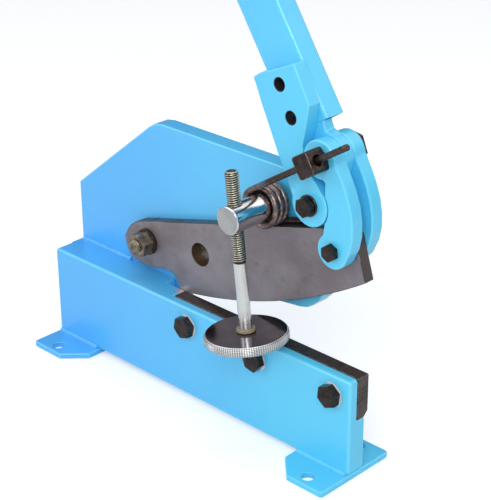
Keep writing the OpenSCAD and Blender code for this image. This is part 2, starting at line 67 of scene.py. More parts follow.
# Places and sizes of the real pieces, in millimetres, as X and Z with the depth Y apart.
LEFT = -172.5
FRONT_PLATE_FRONT = -9.0
FRONT_PLATE_BACK = 9.0
PLATE_TOP = 87.0
BLADE_FRONT = 12.2
BLADE_BACK = 22.2
BACK_PLATE_FRONT = 22.4
BACK_PLATE_BACK = 38.4
BLADE_PIVOT = (-72.0, 118.5)
LEVER_PIVOT = (120.4, 212.6)
UPPER_PIN = (129.0844, 250.5182)
LOWER_PIN = (143.0794, 182.3395)
SCREW_X = (-4.5, 74.5, 153.5)
SCREW_Z = 70.0
SCREW_RING_RADIUS = 10.5
BAR_HOLE = (-8.4533, 126.5134)
BAR_HOLE_RADIUS = 10.0
SPARE_HOLE_RADIUS = 5.0
SPARE_HOLES = ((90.0844, 298.3182), (101.5844, 275.6182))
ROD = (69.0, 195.0)
CLAMP_Y = -24.5
CLAMP_TILT = 6.5
CLAMP_ABOVE = 37.0
CLAMP_BELOW = 100.7
LEG_ANGLE = 15.52056
LEG_REACH = 30.0
LEG_BEND = 5.0
BLOCK_MIDDLE_Y = -8.9
BARE_SPOT = (-30.0, 9.0, 86.5)

# The camera's place in metres, and its three directions.
CAMERA_PLACE = (0.765625, -0.726924, 0.632294)
CAMERA_RIGHT = (0.7166923, 0.6973751, -0.0044935)
CAMERA_UP = (-0.2932405, 0.3071968, 0.9053398)
CAMERA_FORWARD = (-0.6327418, 0.6475323, -0.4246642)
CAMERA_LENS = 104.12


# ---------------------------------------------------------------- shader groups


def new_group(name, ins, outs):
    """An empty shader group with its sockets, and its two end nodes."""
    tree = bpy.data.node_groups.new(name, "ShaderNodeTree")
    for label, kind, default in ins:
        socket = tree.interface.new_socket(label, in_out="INPUT", socket_type=kind)
        socket.default_value = default
    for label, kind in outs:
        tree.interface.new_socket(label, in_out="OUTPUT", socket_type=kind)
    return tree, tree.nodes.new("NodeGroupInput"), tree.nodes.new("NodeGroupOutput")


def feed(tree, socket, value):
    """A socket takes a link or a plain value."""
    if isinstance(value, bpy.types.NodeSocket):
        tree.links.new(value, socket)
    else:
        socket.default_value = value


def place(tree, kind, inputs=(), **settings):
    """A new node with its settings and inputs."""
    node = tree.nodes.new(kind)
    for name, value in settings.items():
        setattr(node, name, value)
    for name, value in dict(inputs).items():
        feed(tree, node.inputs[name], value)
    return node


def calc(tree, operation, a, b=0.0):
    node = tree.nodes.new("ShaderNodeMath")
    node.operation = operation
    feed(tree, node.inputs[0], a)
    feed(tree, node.inputs[1], b)
    return node.outputs[0]


def plus(tree, a, b):
    return calc(tree, "ADD", a, b)


def minus(tree, a, b):
    return calc(tree, "SUBTRACT", a, b)


def times(tree, a, b):
    return calc(tree, "MULTIPLY", a, b)


def vector(tree, operation, a, b=(0, 0, 0)):
    """A sum on vectors. A length, distance or dot product gives a plain value."""
    node = tree.nodes.new("ShaderNodeVectorMath")
    node.operation = operation
    feed(tree, node.inputs[0], a)
    feed(tree, node.inputs[1], b)
    return node.outputs["Value" if operation in ("LENGTH", "DISTANCE", "DOT_PRODUCT") else "Vector"]


def blend_colours(tree, fac, a, b):
    """From colour a to colour b. A plain colour is written as red, green and blue."""
    node = tree.nodes.new("ShaderNodeMix")
    node.data_type = "RGBA"
    feed(tree, node.inputs[0], fac)
    for socket, colour in ((node.inputs[6], a), (node.inputs[7], b)):
        feed(tree, socket, (*colour[:3], 1) if isinstance(colour, tuple) else colour)
    return node.outputs[2]


def tint(tree, base, fac, share, colour):
    """A colour laid over base where fac is high, with a share of its full strength."""
    return blend_colours(tree, times(tree, fac, share), base, colour)


def ramp(tree, value, low, high, to_low=0.0, to_high=1.0):
    node = tree.nodes.new("ShaderNodeMapRange")
    node.interpolation_type = "SMOOTHSTEP"
    for socket, number in zip(list(node.inputs)[:5], (value, low, high, to_low, to_high)):
        feed(tree, socket, number)
    return node.outputs[0]


def noise(tree, where, scale, detail=3.0, rough=0.5):
    settings = {"Vector": where, "Scale": scale, "Detail": detail, "Roughness": rough}
    return place(tree, "ShaderNodeTexNoise", settings).outputs[0]


def chipped_edge_group():
    """Where a finish is worn off a bevelled edge: 1 on bare spots. Edge is 1 on every rounded edge, where the paint
    gets a painted highlight.
    """
    tree, start, end = new_group(
        "Chipped Edge And Edge Highlight",
        [
            ("Place", "NodeSocketVector", (0, 0, 0)),
            ("Amount", "NodeSocketFloat", 0.3),
            ("Chips Per Metre", "NodeSocketFloat", 160.0),
        ],
        [("Mask", "NodeSocketFloat"), ("Edge", "NodeSocketFloat")],
    )
    edge = place(tree, "ShaderNodeAttribute", attribute_name="edge").outputs["Fac"]
    spots = noise(tree, start.outputs["Place"], start.outputs["Chips Per Metre"], 4.0, 0.62)
    level = minus(tree, 1.0, start.outputs["Amount"])
    bare = ramp(tree, spots, level, plus(tree, level, 0.05))
    tree.links.new(times(tree, bare, edge), end.inputs["Mask"])
    tree.links.new(edge, end.inputs["Edge"])
    return tree


def cloud_group():
    """Soft uneven patches of a finish, about 0 to 1."""
    tree, start, end = new_group(
        "Cloudy Patches",
        [("Place", "NodeSocketVector", (0, 0, 0)), ("Patches Per Metre", "NodeSocketFloat", 20.0)],
        [("Value", "NodeSocketFloat")],
    )
    broad = noise(tree, start.outputs["Place"], start.outputs["Patches Per Metre"], 2.0)
    fine_scale = times(tree, start.outputs["Patches Per Metre"], 5.0)
    fine = noise(tree, start.outputs["Place"], fine_scale, 4.0, 0.6)
    both = plus(tree, times(tree, broad, 0.65), times(tree, fine, 0.35))
    tree.links.new(ramp(tree, both, 0.36, 0.64), end.inputs["Value"])
    return tree


def scratch_group():
    """Fine marks drawn along one direction, such as grinding or handling scratches."""
    tree, start, end = new_group(
        "Fine Scratches",
        [
            ("Place", "NodeSocketVector", (0, 0, 0)),
            ("Direction Scale", "NodeSocketVector", (40, 40, 900)),
        ],
        [("Value", "NodeSocketFloat")],
    )
    stretched = vector(tree, "MULTIPLY", start.outputs["Place"], start.outputs["Direction Scale"])
    lines = noise(tree, stretched, 1.0, 5.0, 0.65)
    tree.links.new(ramp(tree, lines, 0.42, 0.62), end.inputs["Value"])
    return tree


def peel_group():
    """Height of a sprayed coat: a small orange peel over slow waves."""
    tree, start, end = new_group(
        "Sprayed Coat",
        [("Place", "NodeSocketVector", (0, 0, 0)), ("Peel Per Metre", "NodeSocketFloat", 420.0)],
        [("Height", "NodeSocketFloat")],
    )
    peel = noise(tree, start.outputs["Place"], start.outputs["Peel Per Metre"], 1.5, 0.4)
    waves = noise(tree, start.outputs["Place"], 34.0, 2.0, 0.5)
    total = plus(tree, times(tree, peel, 0.3), times(tree, waves, 1.0))
    tree.links.new(total, end.inputs["Height"])
    return tree


GROUPS = {}


def group_node(tree, kind, inputs):
    """One of the shared effects, placed in a material with its own values."""
    makers = {
        "edge": chipped_edge_group,
        "cloud": cloud_group,
        "scratch": scratch_group,
        "peel": peel_group,
    }
    if kind not in GROUPS:
        GROUPS[kind] = makers[kind]()
    return place(tree, "ShaderNodeGroup", inputs, node_tree=GROUPS[kind])


# ---------------------------------------------------------------- materials


def new_material(name, **constants):
    """A material with its Principled shader, the object's coordinates and its constants."""
    made = bpy.data.materials.new(name)
    made.use_nodes = True
    tree = made.node_tree
    shader = tree.nodes["Principled BSDF"]
    for label, value in constants.items():
        shader.inputs[label.replace("_", " ")].default_value = value
    place_out = place(tree, "ShaderNodeTexCoord").outputs["Object"]
    return made, tree, shader, place_out


def bump(tree, shader, height, strength, distance):
    node = place(tree, "ShaderNodeBump", {"Height": height, "Strength": strength, "Distance": distance})
    tree.links.new(node.outputs[0], shader.inputs["Normal"])


def scaled(colour, *factors):
    """A colour with its channels multiplied, by one factor or by one for each."""
    return tuple(min(1.0, c * f) for c, f in zip(colour[:3], factors * 3 if len(factors) == 1 else factors))


def facing(tree, here, axis):
    """How much the surface looks along X, Y or Z, which are 0, 1 and 2."""
    return place(tree, "ShaderNodeSeparateXYZ", {"Vector": here.node.outputs["Normal"]}).outputs[axis]


def from_axis(tree, here, spot):
    """The way to a place from the line along Y through a spot, which is X and Z in millimetres."""
    away = vector(tree, "SUBTRACT", here, (spot[0] * MM, 0, spot[1] * MM))
    return vector(tree, "MULTIPLY", away, (1, 0, 1))


def cloud_of(tree, here, patches):
    """Soft patches, so many to the metre."""
    return group_node(tree, "cloud", {"Place": here, "Patches Per Metre": patches}).outputs[0]


def scratch_of(tree, here, directions):
    """Drawn marks: the higher the number of a direction, the finer they are across it."""
    return group_node(tree, "scratch", {"Place": here, "Direction Scale": directions}).outputs[0]


def paint_material(name, look, bare_at=None, holes=(), hole_tone=(0.07, 0.04, 0.022), rings=()):
    """Glossy sky-blue paint over steel, chipped at its edges, with a painted highlight on every rounded edge and
    painted shade and light that changes along X.

    It is dark inside the holes that run along Y; in the cheek's spare holes this is painted shade. Round the screw
    heads it is rubbed bare in rings, which are lit as a painted highlight on their right and upper side only."""
    made, tree, shader, here = new_material(name, Coat_Roughness=0.12, Coat_IOR=1.5)
    colour = tuple(look.paint)
    bare_steel = (0.07, 0.065, 0.06)
    cloud = cloud_of(tree, here, 11.0)
    base = tint(tree, colour, cloud, 0.35, scaled(colour, 0.72, 0.87, 0.97))
    # Painted shade and light along X: darker and bluer towards the left end, greener towards the right end.
    along = place(tree, "ShaderNodeSeparateXYZ", {"Vector": here}).outputs[0]
    base = blend_colours(tree, ramp(tree, along, 0.06, -0.14), base, scaled(colour, 0.86, 0.83, 1.02))
    base = tint(tree, base, ramp(tree, along, 0.03, 0.12), 0.8, scaled(colour, 1, 1.12, 1))
    chips_and_edge_sheen = group_node(tree, "edge", {"Place": here, "Amount": look.chips, "Chips Per Metre": 140.0})
    # Painted highlight: every rounded edge is lightened, as if it caught the light.
    edge_highlight_colour = tuple(min(1.0, c * 1.2 + 0.06) for c in colour[:3])
    base = tint(tree, base, chips_and_edge_sheen.outputs["Edge"], 0.55, edge_highlight_colour)
    grime = ramp(tree, noise(tree, here, 330.0, 3.0, 0.7), 0.72, 0.78)
    base = tint(tree, base, grime, 0.45, (0.03, 0.09, 0.16))
    mask = chips_and_edge_sheen.outputs["Mask"]
    metal = bare_steel
    if bare_at:
        far = vector(tree, "DISTANCE", here, [v * MM for v in bare_at])
        wobble = times(tree, minus(tree, noise(tree, here, 260.0), 0.5), 0.006)
        patch = ramp(tree, plus(tree, far, wobble), 0.0052, 0.0044)
        mask = calc(tree, "MAXIMUM", mask, patch)
        metal = blend_colours(tree, patch, bare_steel, (0.88, 0.87, 0.86))
    base = blend_colours(tree, mask, base, metal)
    # Dark inside the holes along Y: dark brown by default, near-black in the cheek's spare holes, where it is painted
    # shade.
    for centre, radius in holes:
        reach = vector(tree, "LENGTH", from_axis(tree, here, centre))
        base = blend_colours(tree, ramp(tree, reach, (radius + 0.75) * MM, (radius + 0.5) * MM), base, hole_tone)
    # Painted highlight on rubbed bare rings: a light grey crescent round each screw head, only on its right and upper
    # side.
    for centre, radius in rings:
        away = from_axis(tree, here, centre)
        reach = vector(tree, "LENGTH", away)
        side = calc(tree, "DIVIDE", vector(tree, "DOT_PRODUCT", away, (1, 0, 0.6)), reach)
        ragged = times(tree, minus(tree, noise(tree, here, 420.0), 0.5), 0.0016)
        ring = ramp(tree, plus(tree, reach, ragged), (radius + 0.25) * MM, radius * MM)
        base = tint(tree, base, ring, ramp(tree, side, -0.1, 0.45), (0.72, 0.73, 0.74))
    tree.links.new(base, shader.inputs["Base Color"])
    tree.links.new(times(tree, mask, 0.8), shader.inputs["Metallic"])
    tree.links.new(ramp(tree, cloud, 0.0, 1.0, 0.3, 0.42), shader.inputs["Roughness"])
    tree.links.new(minus(tree, 0.45, times(tree, mask, 0.45)), shader.inputs["Coat Weight"])
    height = group_node(tree, "peel", {"Place": here, "Peel Per Metre": 420.0}).outputs[0]
    bump(tree, shader, minus(tree, height, times(tree, mask, 0.4)), 0.35, 0.0007)
    return made


def steel_material(name, tone, dark, metallic, rough, patches, scratch, worn=None, arm_tone=None):
    """Bare or blackened steel: two tones in soft patches, drawn marks, rubbed edges.

    arm_tone is for the spring's wire: it darkens the wire from about 18 to 30 mm out from the rod, along its arm and
    leg."""
    made, tree, shader, here = new_material(name, Metallic=metallic)
    cloud = cloud_of(tree, here, patches)
    marks = scratch_of(tree, here, scratch)
    base = blend_colours(tree, cloud, tone, dark)
    base = tint(tree, base, marks, 0.4, tuple(min(1.0, c * 1.35 + 0.01) for c in tone))
    if worn:
        chips_and_edge_sheen = group_node(tree, "edge", {"Place": here, "Amount": 0.55, "Chips Per Metre": 220.0})
        base = blend_colours(tree, chips_and_edge_sheen.outputs["Mask"], base, worn)
    if arm_tone:
        reach = vector(tree, "LENGTH", from_axis(tree, here, ROD))
        base = tint(tree, base, ramp(tree, reach, 0.018, 0.03), 0.8, arm_tone)
    tree.links.new(base, shader.inputs["Base Color"])
    spread = ramp(tree, cloud, 0.0, 1.0, rough - 0.05, rough + 0.08)
    tree.links.new(plus(tree, spread, times(tree, marks, 0.05)), shader.inputs["Roughness"])
    bump(tree, shader, plus(tree, marks, times(tree, cloud, 0.6)), 0.2, 0.0002)
    return made


def blade_material(look):
    """Satin ground blade: mauve grey and blotched, with painted shade darkening its rim, and brown inside its bar
    hole.
    """
    made, tree, shader, here = new_material("Ground Blade Steel", Metallic=0.55)
    tone = tuple(look.blade)
    cloud = cloud_of(tree, here, 16.0)
    marks = scratch_of(tree, here, (55.0, 55.0, 1100.0))
    base = blend_colours(tree, cloud, tone, scaled(tone, 0.78, 0.72, 0.74))
    base = tint(tree, base, marks, 0.12, scaled(tone, 1.22))
    flecks = ramp(tree, noise(tree, here, 210.0, 4.0, 0.7), 0.66, 0.74)
    base = tint(tree, base, flecks, 0.5, (0.42, 0.41, 0.42))
    stains = ramp(tree, noise(tree, here, 38.0, 3.0, 0.6), 0.58, 0.72)
    base = tint(tree, base, stains, 0.35, (0.1, 0.075, 0.07))
    chips_and_edge_sheen = group_node(tree, "edge", {"Place": here, "Amount": 0.6, "Chips Per Metre": 120.0})
    base = blend_colours(tree, chips_and_edge_sheen.outputs["Mask"], base, (0.09, 0.08, 0.085))
    # Painted shade: the faces that do not look along Y, the blade's top, bottom and ends, are darkened.
    rim = ramp(tree, calc(tree, "ABSOLUTE", facing(tree, here, 1)), 0.75, 0.55)
    base = tint(tree, base, rim, 0.8, (0.055, 0.04, 0.034))
    hole = (BAR_HOLE[0] * MM, (BLADE_FRONT + BLADE_BACK) / 2 * MM, BAR_HOLE[1] * MM)
    near = ramp(tree, vector(tree, "DISTANCE", here, hole), 0.0122, 0.0119)
    base = blend_colours(tree, times(tree, near, rim), base, (0.11, 0.065, 0.035))
    tree.links.new(base, shader.inputs["Base Color"])
    tree.links.new(ramp(tree, cloud, 0.0, 1.0, 0.36, 0.5), shader.inputs["Roughness"])
    bump(tree, shader, plus(tree, marks, cloud), 0.15, 0.0002)
    return made


def knurl_valleys(tree, here):
    """1 in the valleys of a diamond knurl round the hold-down screw's axis, where the disc gets painted shade."""
    half_the_points, rise_per_metre = 56.0, 2500.0
    screw = clamp_frame()
    away = vector(tree, "SUBTRACT", here, screw.translation)
    across, along, up = (vector(tree, "DOT_PRODUCT", away, screw.col[axis].to_3d()) for axis in range(3))
    turn = times(tree, calc(tree, "ARCTAN2", along, across), half_the_points)
    rise = times(tree, up, rise_per_metre)
    point = times(tree, calc(tree, "SINE", plus(tree, turn, rise)), calc(tree, "SINE", minus(tree, turn, rise)))
    return ramp(tree, point, 0.15, -0.25)


def bright_material(name, tone, rough, haze, relief=0.06, root=None, face=None, knurled=False):
    """Plated or polished metal with a faint haze, and grime where its "root" mark is high.

    face is (axis, sign, tone, roughness) of the sides that look that way; the disc's dark top is a painted
    reflection. A knurled rim gets painted shade between its points."""
    made, tree, shader, here = new_material(name, Metallic=1.0)
    cloud = cloud_of(tree, here, 60.0)
    marks = scratch_of(tree, here, (500.0, 500.0, 90.0))
    base = tint(tree, tone, cloud, 0.5, scaled(tone, haze))
    if root:
        deep = place(tree, "ShaderNodeAttribute", attribute_name="root").outputs["Fac"]
        grime = ramp(tree, plus(tree, deep, times(tree, cloud, 0.25)), 0.35, 0.9)
        base = blend_colours(tree, grime, base, root)
    if knurled:
        # Painted shade between the knurl's points.
        base = tint(tree, base, knurl_valleys(tree, here), 0.85, (0.09, 0.085, 0.08))
    # The sides that look along the face axis take their own tone; on the disc this dark top is a painted reflection.
    if face:
        axis, sign, face_tone, face_rough = face
        turned = ramp(tree, times(tree, facing(tree, here, axis), sign), 0.93, 0.98)
        mottled = blend_colours(tree, cloud, face_tone, scaled(face_tone, 0.85))
        base = blend_colours(tree, turned, base, mottled)
        rough = ramp(tree, turned, 0.0, 1.0, rough, face_rough)
    tree.links.new(base, shader.inputs["Base Color"])
    extra = plus(tree, times(tree, cloud, 0.08), times(tree, marks, 0.04))
    tree.links.new(plus(tree, rough, extra), shader.inputs["Roughness"])
    bump(tree, shader, marks, relief, 0.0001)
    return made


def fibre_material(name, tone, rough):
    """Fibre washer or moulded plastic: matt, faintly grained."""
    made, tree, shader, here = new_material(name)
    grain = noise(tree, here, 900.0, 4.0, 0.7)
    cloud = cloud_of(tree, here, 90.0)
    tree.links.new(blend_colours(tree, cloud, tone, scaled(tone, 0.7)), shader.inputs["Base Color"])
    tree.links.new(ramp(tree, grain, 0.3, 0.7, rough - 0.06, rough + 0.08), shader.inputs["Roughness"])
    bump(tree, shader, grain, 0.2, 0.0002)
    return made


# The finishes other than paint: name, tone, then the values of their maker in its own order.
STEELS = {
    "lower_blade": ("Dark Tool Steel", (0.095, 0.078, 0.072), (0.045, 0.036, 0.033), 0.75, 0.36, 45.0,
                    (700.0, 40.0, 700.0), (0.2, 0.17, 0.15)),
    "black": ("Blackened Steel", (0.05, 0.035, 0.03), (0.016, 0.011, 0.01), 0.75, 0.26, 120.0,
              (400.0, 400.0, 400.0), (0.14, 0.1, 0.08)),
    "nut": ("Bronzed Steel", (0.3, 0.245, 0.185), (0.09, 0.068, 0.05), 0.85, 0.32, 130.0,
            (500.0, 120.0, 500.0), (0.4, 0.34, 0.26)),
    "washer": ("Dark Bronzed Washer", (0.06, 0.045, 0.035), (0.025, 0.02, 0.017), 0.8, 0.4, 110.0,
               (300.0, 300.0, 300.0)),
    "pin": ("Pin Steel", (0.16, 0.14, 0.125), (0.07, 0.06, 0.055), 0.9, 0.35, 90.0, (600.0, 60.0, 600.0)),
    "wire": ("Spring Wire", (0.26, 0.195, 0.18), (0.1, 0.07, 0.06), 0.85, 0.27, 170.0,
             (300.0, 300.0, 300.0), None, (0.045, 0.028, 0.026)),
}
BRIGHT = {
    "chrome": ("Chromed Steel", (0.72, 0.71, 0.72), 0.06, 0.92, 0.06, None, (1, -1.0, (0.5, 0.5, 0.5), 0.42)),
    # The disc's top is given a dark tone as a painted reflection of its surroundings.
    "disc": ("Chromed Disc", (0.78, 0.78, 0.78), 0.3, 0.85, 0.06, None, (2, 1.0, (0.2, 0.19, 0.21), 0.05), True),
    "zinc": ("Yellow Zinc Thread", (0.52, 0.51, 0.43), 0.24, 0.8, 0.06, (0.05, 0.042, 0.03)),
    "shank": ("Bright Turned Shank", (0.72, 0.72, 0.71), 0.16, 0.9, 0.15),
}
FIBRES = {
    "ring": ("Tan Ring", (0.36, 0.28, 0.19), 0.45),
    "plastic": ("Black Plastic", (0.02, 0.02, 0.022), 0.42),
}
PAINTS = {
    "paint": ("Sky Blue Paint", {}),
    "back_paint": ("Sky Blue Paint Round Bar Hole", {"holes": [(BAR_HOLE, BAR_HOLE_RADIUS)]}),
    # The spare holes are near-black inside: painted shade of their deep bores.
    "cheek_paint": ("Sky Blue Paint Round Spare Holes", {
        "holes": [(spot, SPARE_HOLE_RADIUS) for spot in SPARE_HOLES], "hole_tone": (0.024, 0.023, 0.024)}),
    # The rings round the screw heads carry a painted highlight crescent.
    "shelf_paint": ("Sky Blue Paint With Bare Spots And Highlight Crescents", {
        "bare_at": BARE_SPOT, "rings": [((x, SCREW_Z), SCREW_RING_RADIUS) for x in SCREW_X]}),
}
MADE = {}


def finish(name):
    """The finish of that name, made once."""
    if name in MADE:
        return MADE[name]
    look = bpy.context.scene.shear_finish
    if name == "blade":
        MADE[name] = blade_material(look)
    elif name in PAINTS:
        title, places = PAINTS[name]
        MADE[name] = paint_material(title, look, **places)
    for table, maker in ((STEELS, steel_material), (BRIGHT, bright_material), (FIBRES, fibre_material)):
        if name in table:
            MADE[name] = maker(*table[name])
    return MADE[name]


# ---------------------------------------------------------------- mesh helpers


def new_object(name, data):
    made = bpy.data.objects.new(name, data)
    bpy.context.scene.collection.objects.link(made)
    return made


def mesh_from(work, name):
    """The plain mesh of a finished work mesh, which is freed."""
    mesh = bpy.data.meshes.new(name)
    work.to_mesh(mesh)
    work.free()
    return mesh


def ring_of(work, radii, height):
    """A ring of corners round Z, one for each radius, in millimetres."""
    return [
        work.verts.new((radius * MM * math.cos(2 * math.pi * k / len(radii)),
                        radius * MM * math.sin(2 * math.pi * k / len(radii)), height * MM))
        for k, radius in enumerate(radii)
    ]


def bridge(work, a, b, look=0):
    """Faces from ring a to ring b. Either of them may be a single point."""
    sides = max(len(a), len(b))
    for k in range(sides):
        n = (k + 1) % sides
        if len(a) == 1:
            corners = (a[0], b[n], b[k])
        elif len(b) == 1:
            corners = (a[k], a[n], b[0])
        else:
            corners = (a[k], a[n], b[n], b[k])
        work.faces.new(corners).material_index = look


def settle(piece, body, slot, *nodes):
    """A finished piece rides on its body and stands for its nodes."""
    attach(piece, body)
    if nodes:
        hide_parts(*nodes)
    return piece


def bake_modifiers(piece):
    """The piece's modifiers become its mesh."""
    graph = bpy.context.evaluated_depsgraph_get()
    mesh = bpy.data.meshes.new_from_object(piece.evaluated_get(graph))
    piece.modifiers.clear()
    piece.data = mesh
    return piece


def soft_shade(piece, crease=42.0):
    """Flat faces stay flat and rounded edges roll between them."""
    mesh = piece.data
    mesh.polygons.foreach_set("use_smooth", [True] * len(mesh.polygons))
    work = bmesh.new()
    work.from_mesh(mesh)
    for edge in work.edges:
        if len(edge.link_faces) == 2:
            edge.smooth = edge.calc_face_angle(0) < math.radians(crease)
    work.to_mesh(mesh)
    work.free()
    weighted = piece.modifiers.new("Weighted Normal", "WEIGHTED_NORMAL")
    weighted.keep_sharp = True
    weighted.mode = "FACE_AREA"
    bpy.context.view_layer.update()
    return bake_modifiers(piece)


def flat_planes(work, least_area=30e-6):
    """The broad flat sides of a shape, each as a normal and its distance from the origin."""
    found = []
    for face in work.faces:
        if face.calc_area() < least_area:
            continue
        level = face.normal.dot(face.verts[0].co)
        if not any(face.normal.dot(n) > 0.99999 and abs(level - d) < 5e-6 for n, d in found):
            found.append((face.normal.copy(), level))
    return found


def refill_plane(work, normal, level):
    """A broad flat side is filled again in one go between the rims of its rounded edges."""
    flat = [
        f for f in work.faces
        if abs(f.normal.dot(normal)) > 0.999 and all(abs(v.co.dot(normal) - level) < 4e-6 for v in f.verts)
    ]
    chosen = set(flat)
    rim = list(dict.fromkeys(
        e for f in flat for e in f.edges
        if len(e.link_faces) == 2 and len(chosen.intersection(e.link_faces)) == 1))
    corners = {}
    for e in rim:
        for v in e.verts:
            corners[v] = corners.get(v, 0) + 1
    if not rim or any(count != 2 for count in corners.values()):
        return
    across = normal.orthogonal().normalized()
    up = normal.cross(across)
    verts = list(corners)
    number = {v: k for k, v in enumerate(verts)}
    spots = [Vector((v.co.dot(across), v.co.dot(up))) / MM for v in verts]
    pairs = [(number[e.verts[0]], number[e.verts[1]]) for e in rim]
    made, _, faces, origins, _, _ = delaunay_2d_cdt(spots, pairs, [], 1, 1e-5, True)
    if len(made) != len(verts) or any(len(k) != 1 for k in origins):
        return
    bmesh.ops.delete(work, geom=flat, context="FACES_ONLY")
    kept = set(rim)
    bmesh.ops.delete(work, geom=[e for e in work.edges if not e.link_faces and e not in kept], context="EDGES")
    for face in faces:
        x, y = sum((made[k] for k in face), Vector((0, 0))) / len(face)
        crossed = 0
        for a, b in pairs:
            (ax, ay), (bx, by) = spots[a], spots[b]
            if (ay > y) != (by > y) and x < (bx - ax) * (y - ay) / (by - ay) + ax:
                crossed += 1
        if crossed % 2:
            work.faces.new([verts[origins[k][0]] for k in face]).normal_update()


def round_radius(edge, sharp):
    """Radius in metres of the hole that a rim edge belongs to, or a large number."""
    best = 1.0
    for face in edge.link_faces:
        for other in face.edges:
            if other is edge or other in sharp or len(other.link_faces) != 2 or other.is_convex:
                continue
            angle = other.calc_face_angle(0)
            if 0.02 < angle < 0.6:
                best = min(best, edge.calc_length() / angle)
    return best


def dressed_copy(node, round_by, slot, look, hole_round=0.4, seam=None):
    """A node's shape with its edges eased, marked for wear and for the paint's painted edge highlight, and finished.

    seam tells of the edges that stay sharp because they meet a neighbouring piece flush."""
    work = bmesh.new()
    work.from_mesh(frame["nodes"][node].data)
    bmesh.ops.remove_doubles(work, verts=work.verts, dist=2e-6)
    bmesh.ops.dissolve_limit(work, angle_limit=math.radians(0.4), verts=work.verts, edges=work.edges)
    bmesh.ops.dissolve_degenerate(work, dist=2e-6, edges=work.edges)
    part = work.edges.layers.int.new("part")
    edge = work.loops.layers.float.new("edge")
    planes = flat_planes(work)
    corner = math.radians(30.0)
    low = [min(v.co[axis] for v in work.verts) for axis in range(3)]
    high = [max(v.co[axis] for v in work.verts) for axis in range(3)]
    sharp = {
        e for e in work.edges
        if len(e.link_faces) == 2 and e.calc_face_angle(0) > corner
        and not (seam and all(seam(v.co / MM) for v in e.verts))
    }
    for e in sharp:
        e[part] = 1 if round_radius(e, sharp) < 12.4 * MM else 2
    for number, size in ((1, min(hole_round, round_by)), (2, round_by)):
        chosen = [
            e for e in work.edges
            if e[part] == number and len(e.link_faces) == 2 and e.calc_face_angle(0) > corner
        ]
        if not chosen:
            continue
        rounded = bmesh.ops.bevel(
            work, geom=chosen, offset=size * MM, offset_type="OFFSET", segments=3,
            profile=0.5, affect="EDGES", clamp_overlap=False, loop_slide=False
        )
        for face in rounded["faces"]:
            for loop in face.loops:
                loop[edge] = 1.0
    for normal, level in planes:
        refill_plane(work, normal, level)
    # Easing an edge only takes metal away, so no corner may stand out past the shape it started from.
    for vert in work.verts:
        vert.co = [min(max(c, a), b) for c, a, b in zip(vert.co, low, high)]
    work.normal_update()
    mesh = mesh_from(work, node + "_dressed")
    mesh.materials.append(finish(look))
    piece = soft_shade(new_object(node + "_dressed", mesh))
    return settle(piece, BODY_OF[node], slot, node)


def swept_tube(name, path, radius, sides):
    """A round wire of one radius along a path of points in millimetres."""
    points = [Vector(p) * MM for p in path]
    work = bmesh.new()
    tangent = (points[1] - points[0]).normalized()
    across = tangent.cross(Vector((0, 0, 1))).normalized()
    rings = []
    for i, point in enumerate(points):
        tangent = (points[min(i + 1, len(points) - 1)] - points[max(i - 1, 0)]).normalized()
        across = (across - tangent * across.dot(tangent)).normalized()
        up = tangent.cross(across)
        rings.append([
            work.verts.new(point + radius * MM * (
                across * math.cos(2 * math.pi * k / sides) + up * math.sin(2 * math.pi * k / sides)))
            for k in range(sides)
        ])
    for a, b in zip(rings, rings[1:]):
        bridge(work, a, b)
    for ring, outward, turn in ((rings[0], points[0] - points[1], 1), (rings[-1], points[-1] - points[-2], -1)):
        push = outward.normalized() * radius * MM
        middle = sum((v.co for v in ring), Vector()) / sides
        rim = [work.verts.new(middle + (v.co - middle) * 0.82 + push * 0.16) for v in ring]
        dimple = [work.verts.new(middle + (v.co - middle) * 0.3 + push * 0.16) for v in ring]
        pit = work.verts.new(middle - push * 0.35)
        for k in range(sides):
            n = (k + 1) % sides
            for loop in ((ring[n], ring[k], rim[k], rim[n]), (rim[n], rim[k], dimple[k], dimple[n]),
                         (dimple[n], dimple[k], pit)):
                work.faces.new(loop[::turn])
    work.normal_update()
    piece = new_object(name, mesh_from(work, name))
    piece.data.polygons.foreach_set("use_smooth", [True] * len(piece.data.polygons))
    return piece


def clamp_frame():
    """Where the hold-down screw stands: its own Z runs up the screw."""
    turn = Matrix.Rotation(-math.radians(CLAMP_TILT), 4, "Y")
    return Matrix.Translation(Vector((ROD[0], CLAMP_Y, ROD[1])) * MM) @ turn


def lathe(name, profile, sides):
    """A closed turned shape: profile is (radius, height) from its bottom centre to its top centre."""
    work = bmesh.new()
    rings = [
        ring_of(work, [radius] * sides, height) if radius else [work.verts.new((0, 0, height * MM))]
        for radius, height in profile
    ]
    for a, b in zip(rings, rings[1:]):
        bridge(work, a, b)
    work.normal_update()
    return new_object(name, mesh_from(work, name))


# ---------------------------------------------------------------- geometry node trees


def new_geometry_tree(name, ins):
    tree = bpy.data.node_groups.new(name, "GeometryNodeTree")
    tree.is_modifier = True
    tree.interface.new_socket("Geometry", in_out="INPUT", socket_type="NodeSocketGeometry")
    for label, kind, default in ins:
        socket = tree.interface.new_socket(label, in_out="INPUT", socket_type=kind)
        if default is not None:
            socket.default_value = default
    tree.interface.new_socket("Geometry", in_out="OUTPUT", socket_type="NodeSocketGeometry")
    return tree, tree.nodes.new("NodeGroupInput"), tree.nodes.new("NodeGroupOutput")


def run_tree(piece, tree, values):
    """Runs a tree on a piece with its named inputs, and keeps the plain mesh."""
    modifier = piece.modifiers.new(tree.name, "NODES")
    modifier.node_group = tree
    keys = {item.name: item.identifier for item in tree.interface.items_tree if item.in_out == "INPUT"}
    for label, value in values.items():
        modifier[keys[label]] = value
    piece.update_tag()
    bpy.context.view_layer.update()
    return bake_modifiers(piece)


def close_tree(tree, start, end, geometry):
    """Realises the instances and sets the material, as every tree here ends."""
    real = place(tree, "GeometryNodeRealizeInstances", {"Geometry": geometry})
    done = place(tree, "GeometryNodeSetMaterial", {
        "Geometry": real.outputs[0], "Material": start.outputs["Material"]})
    tree.links.new(done.outputs[0], end.inputs["Geometry"])


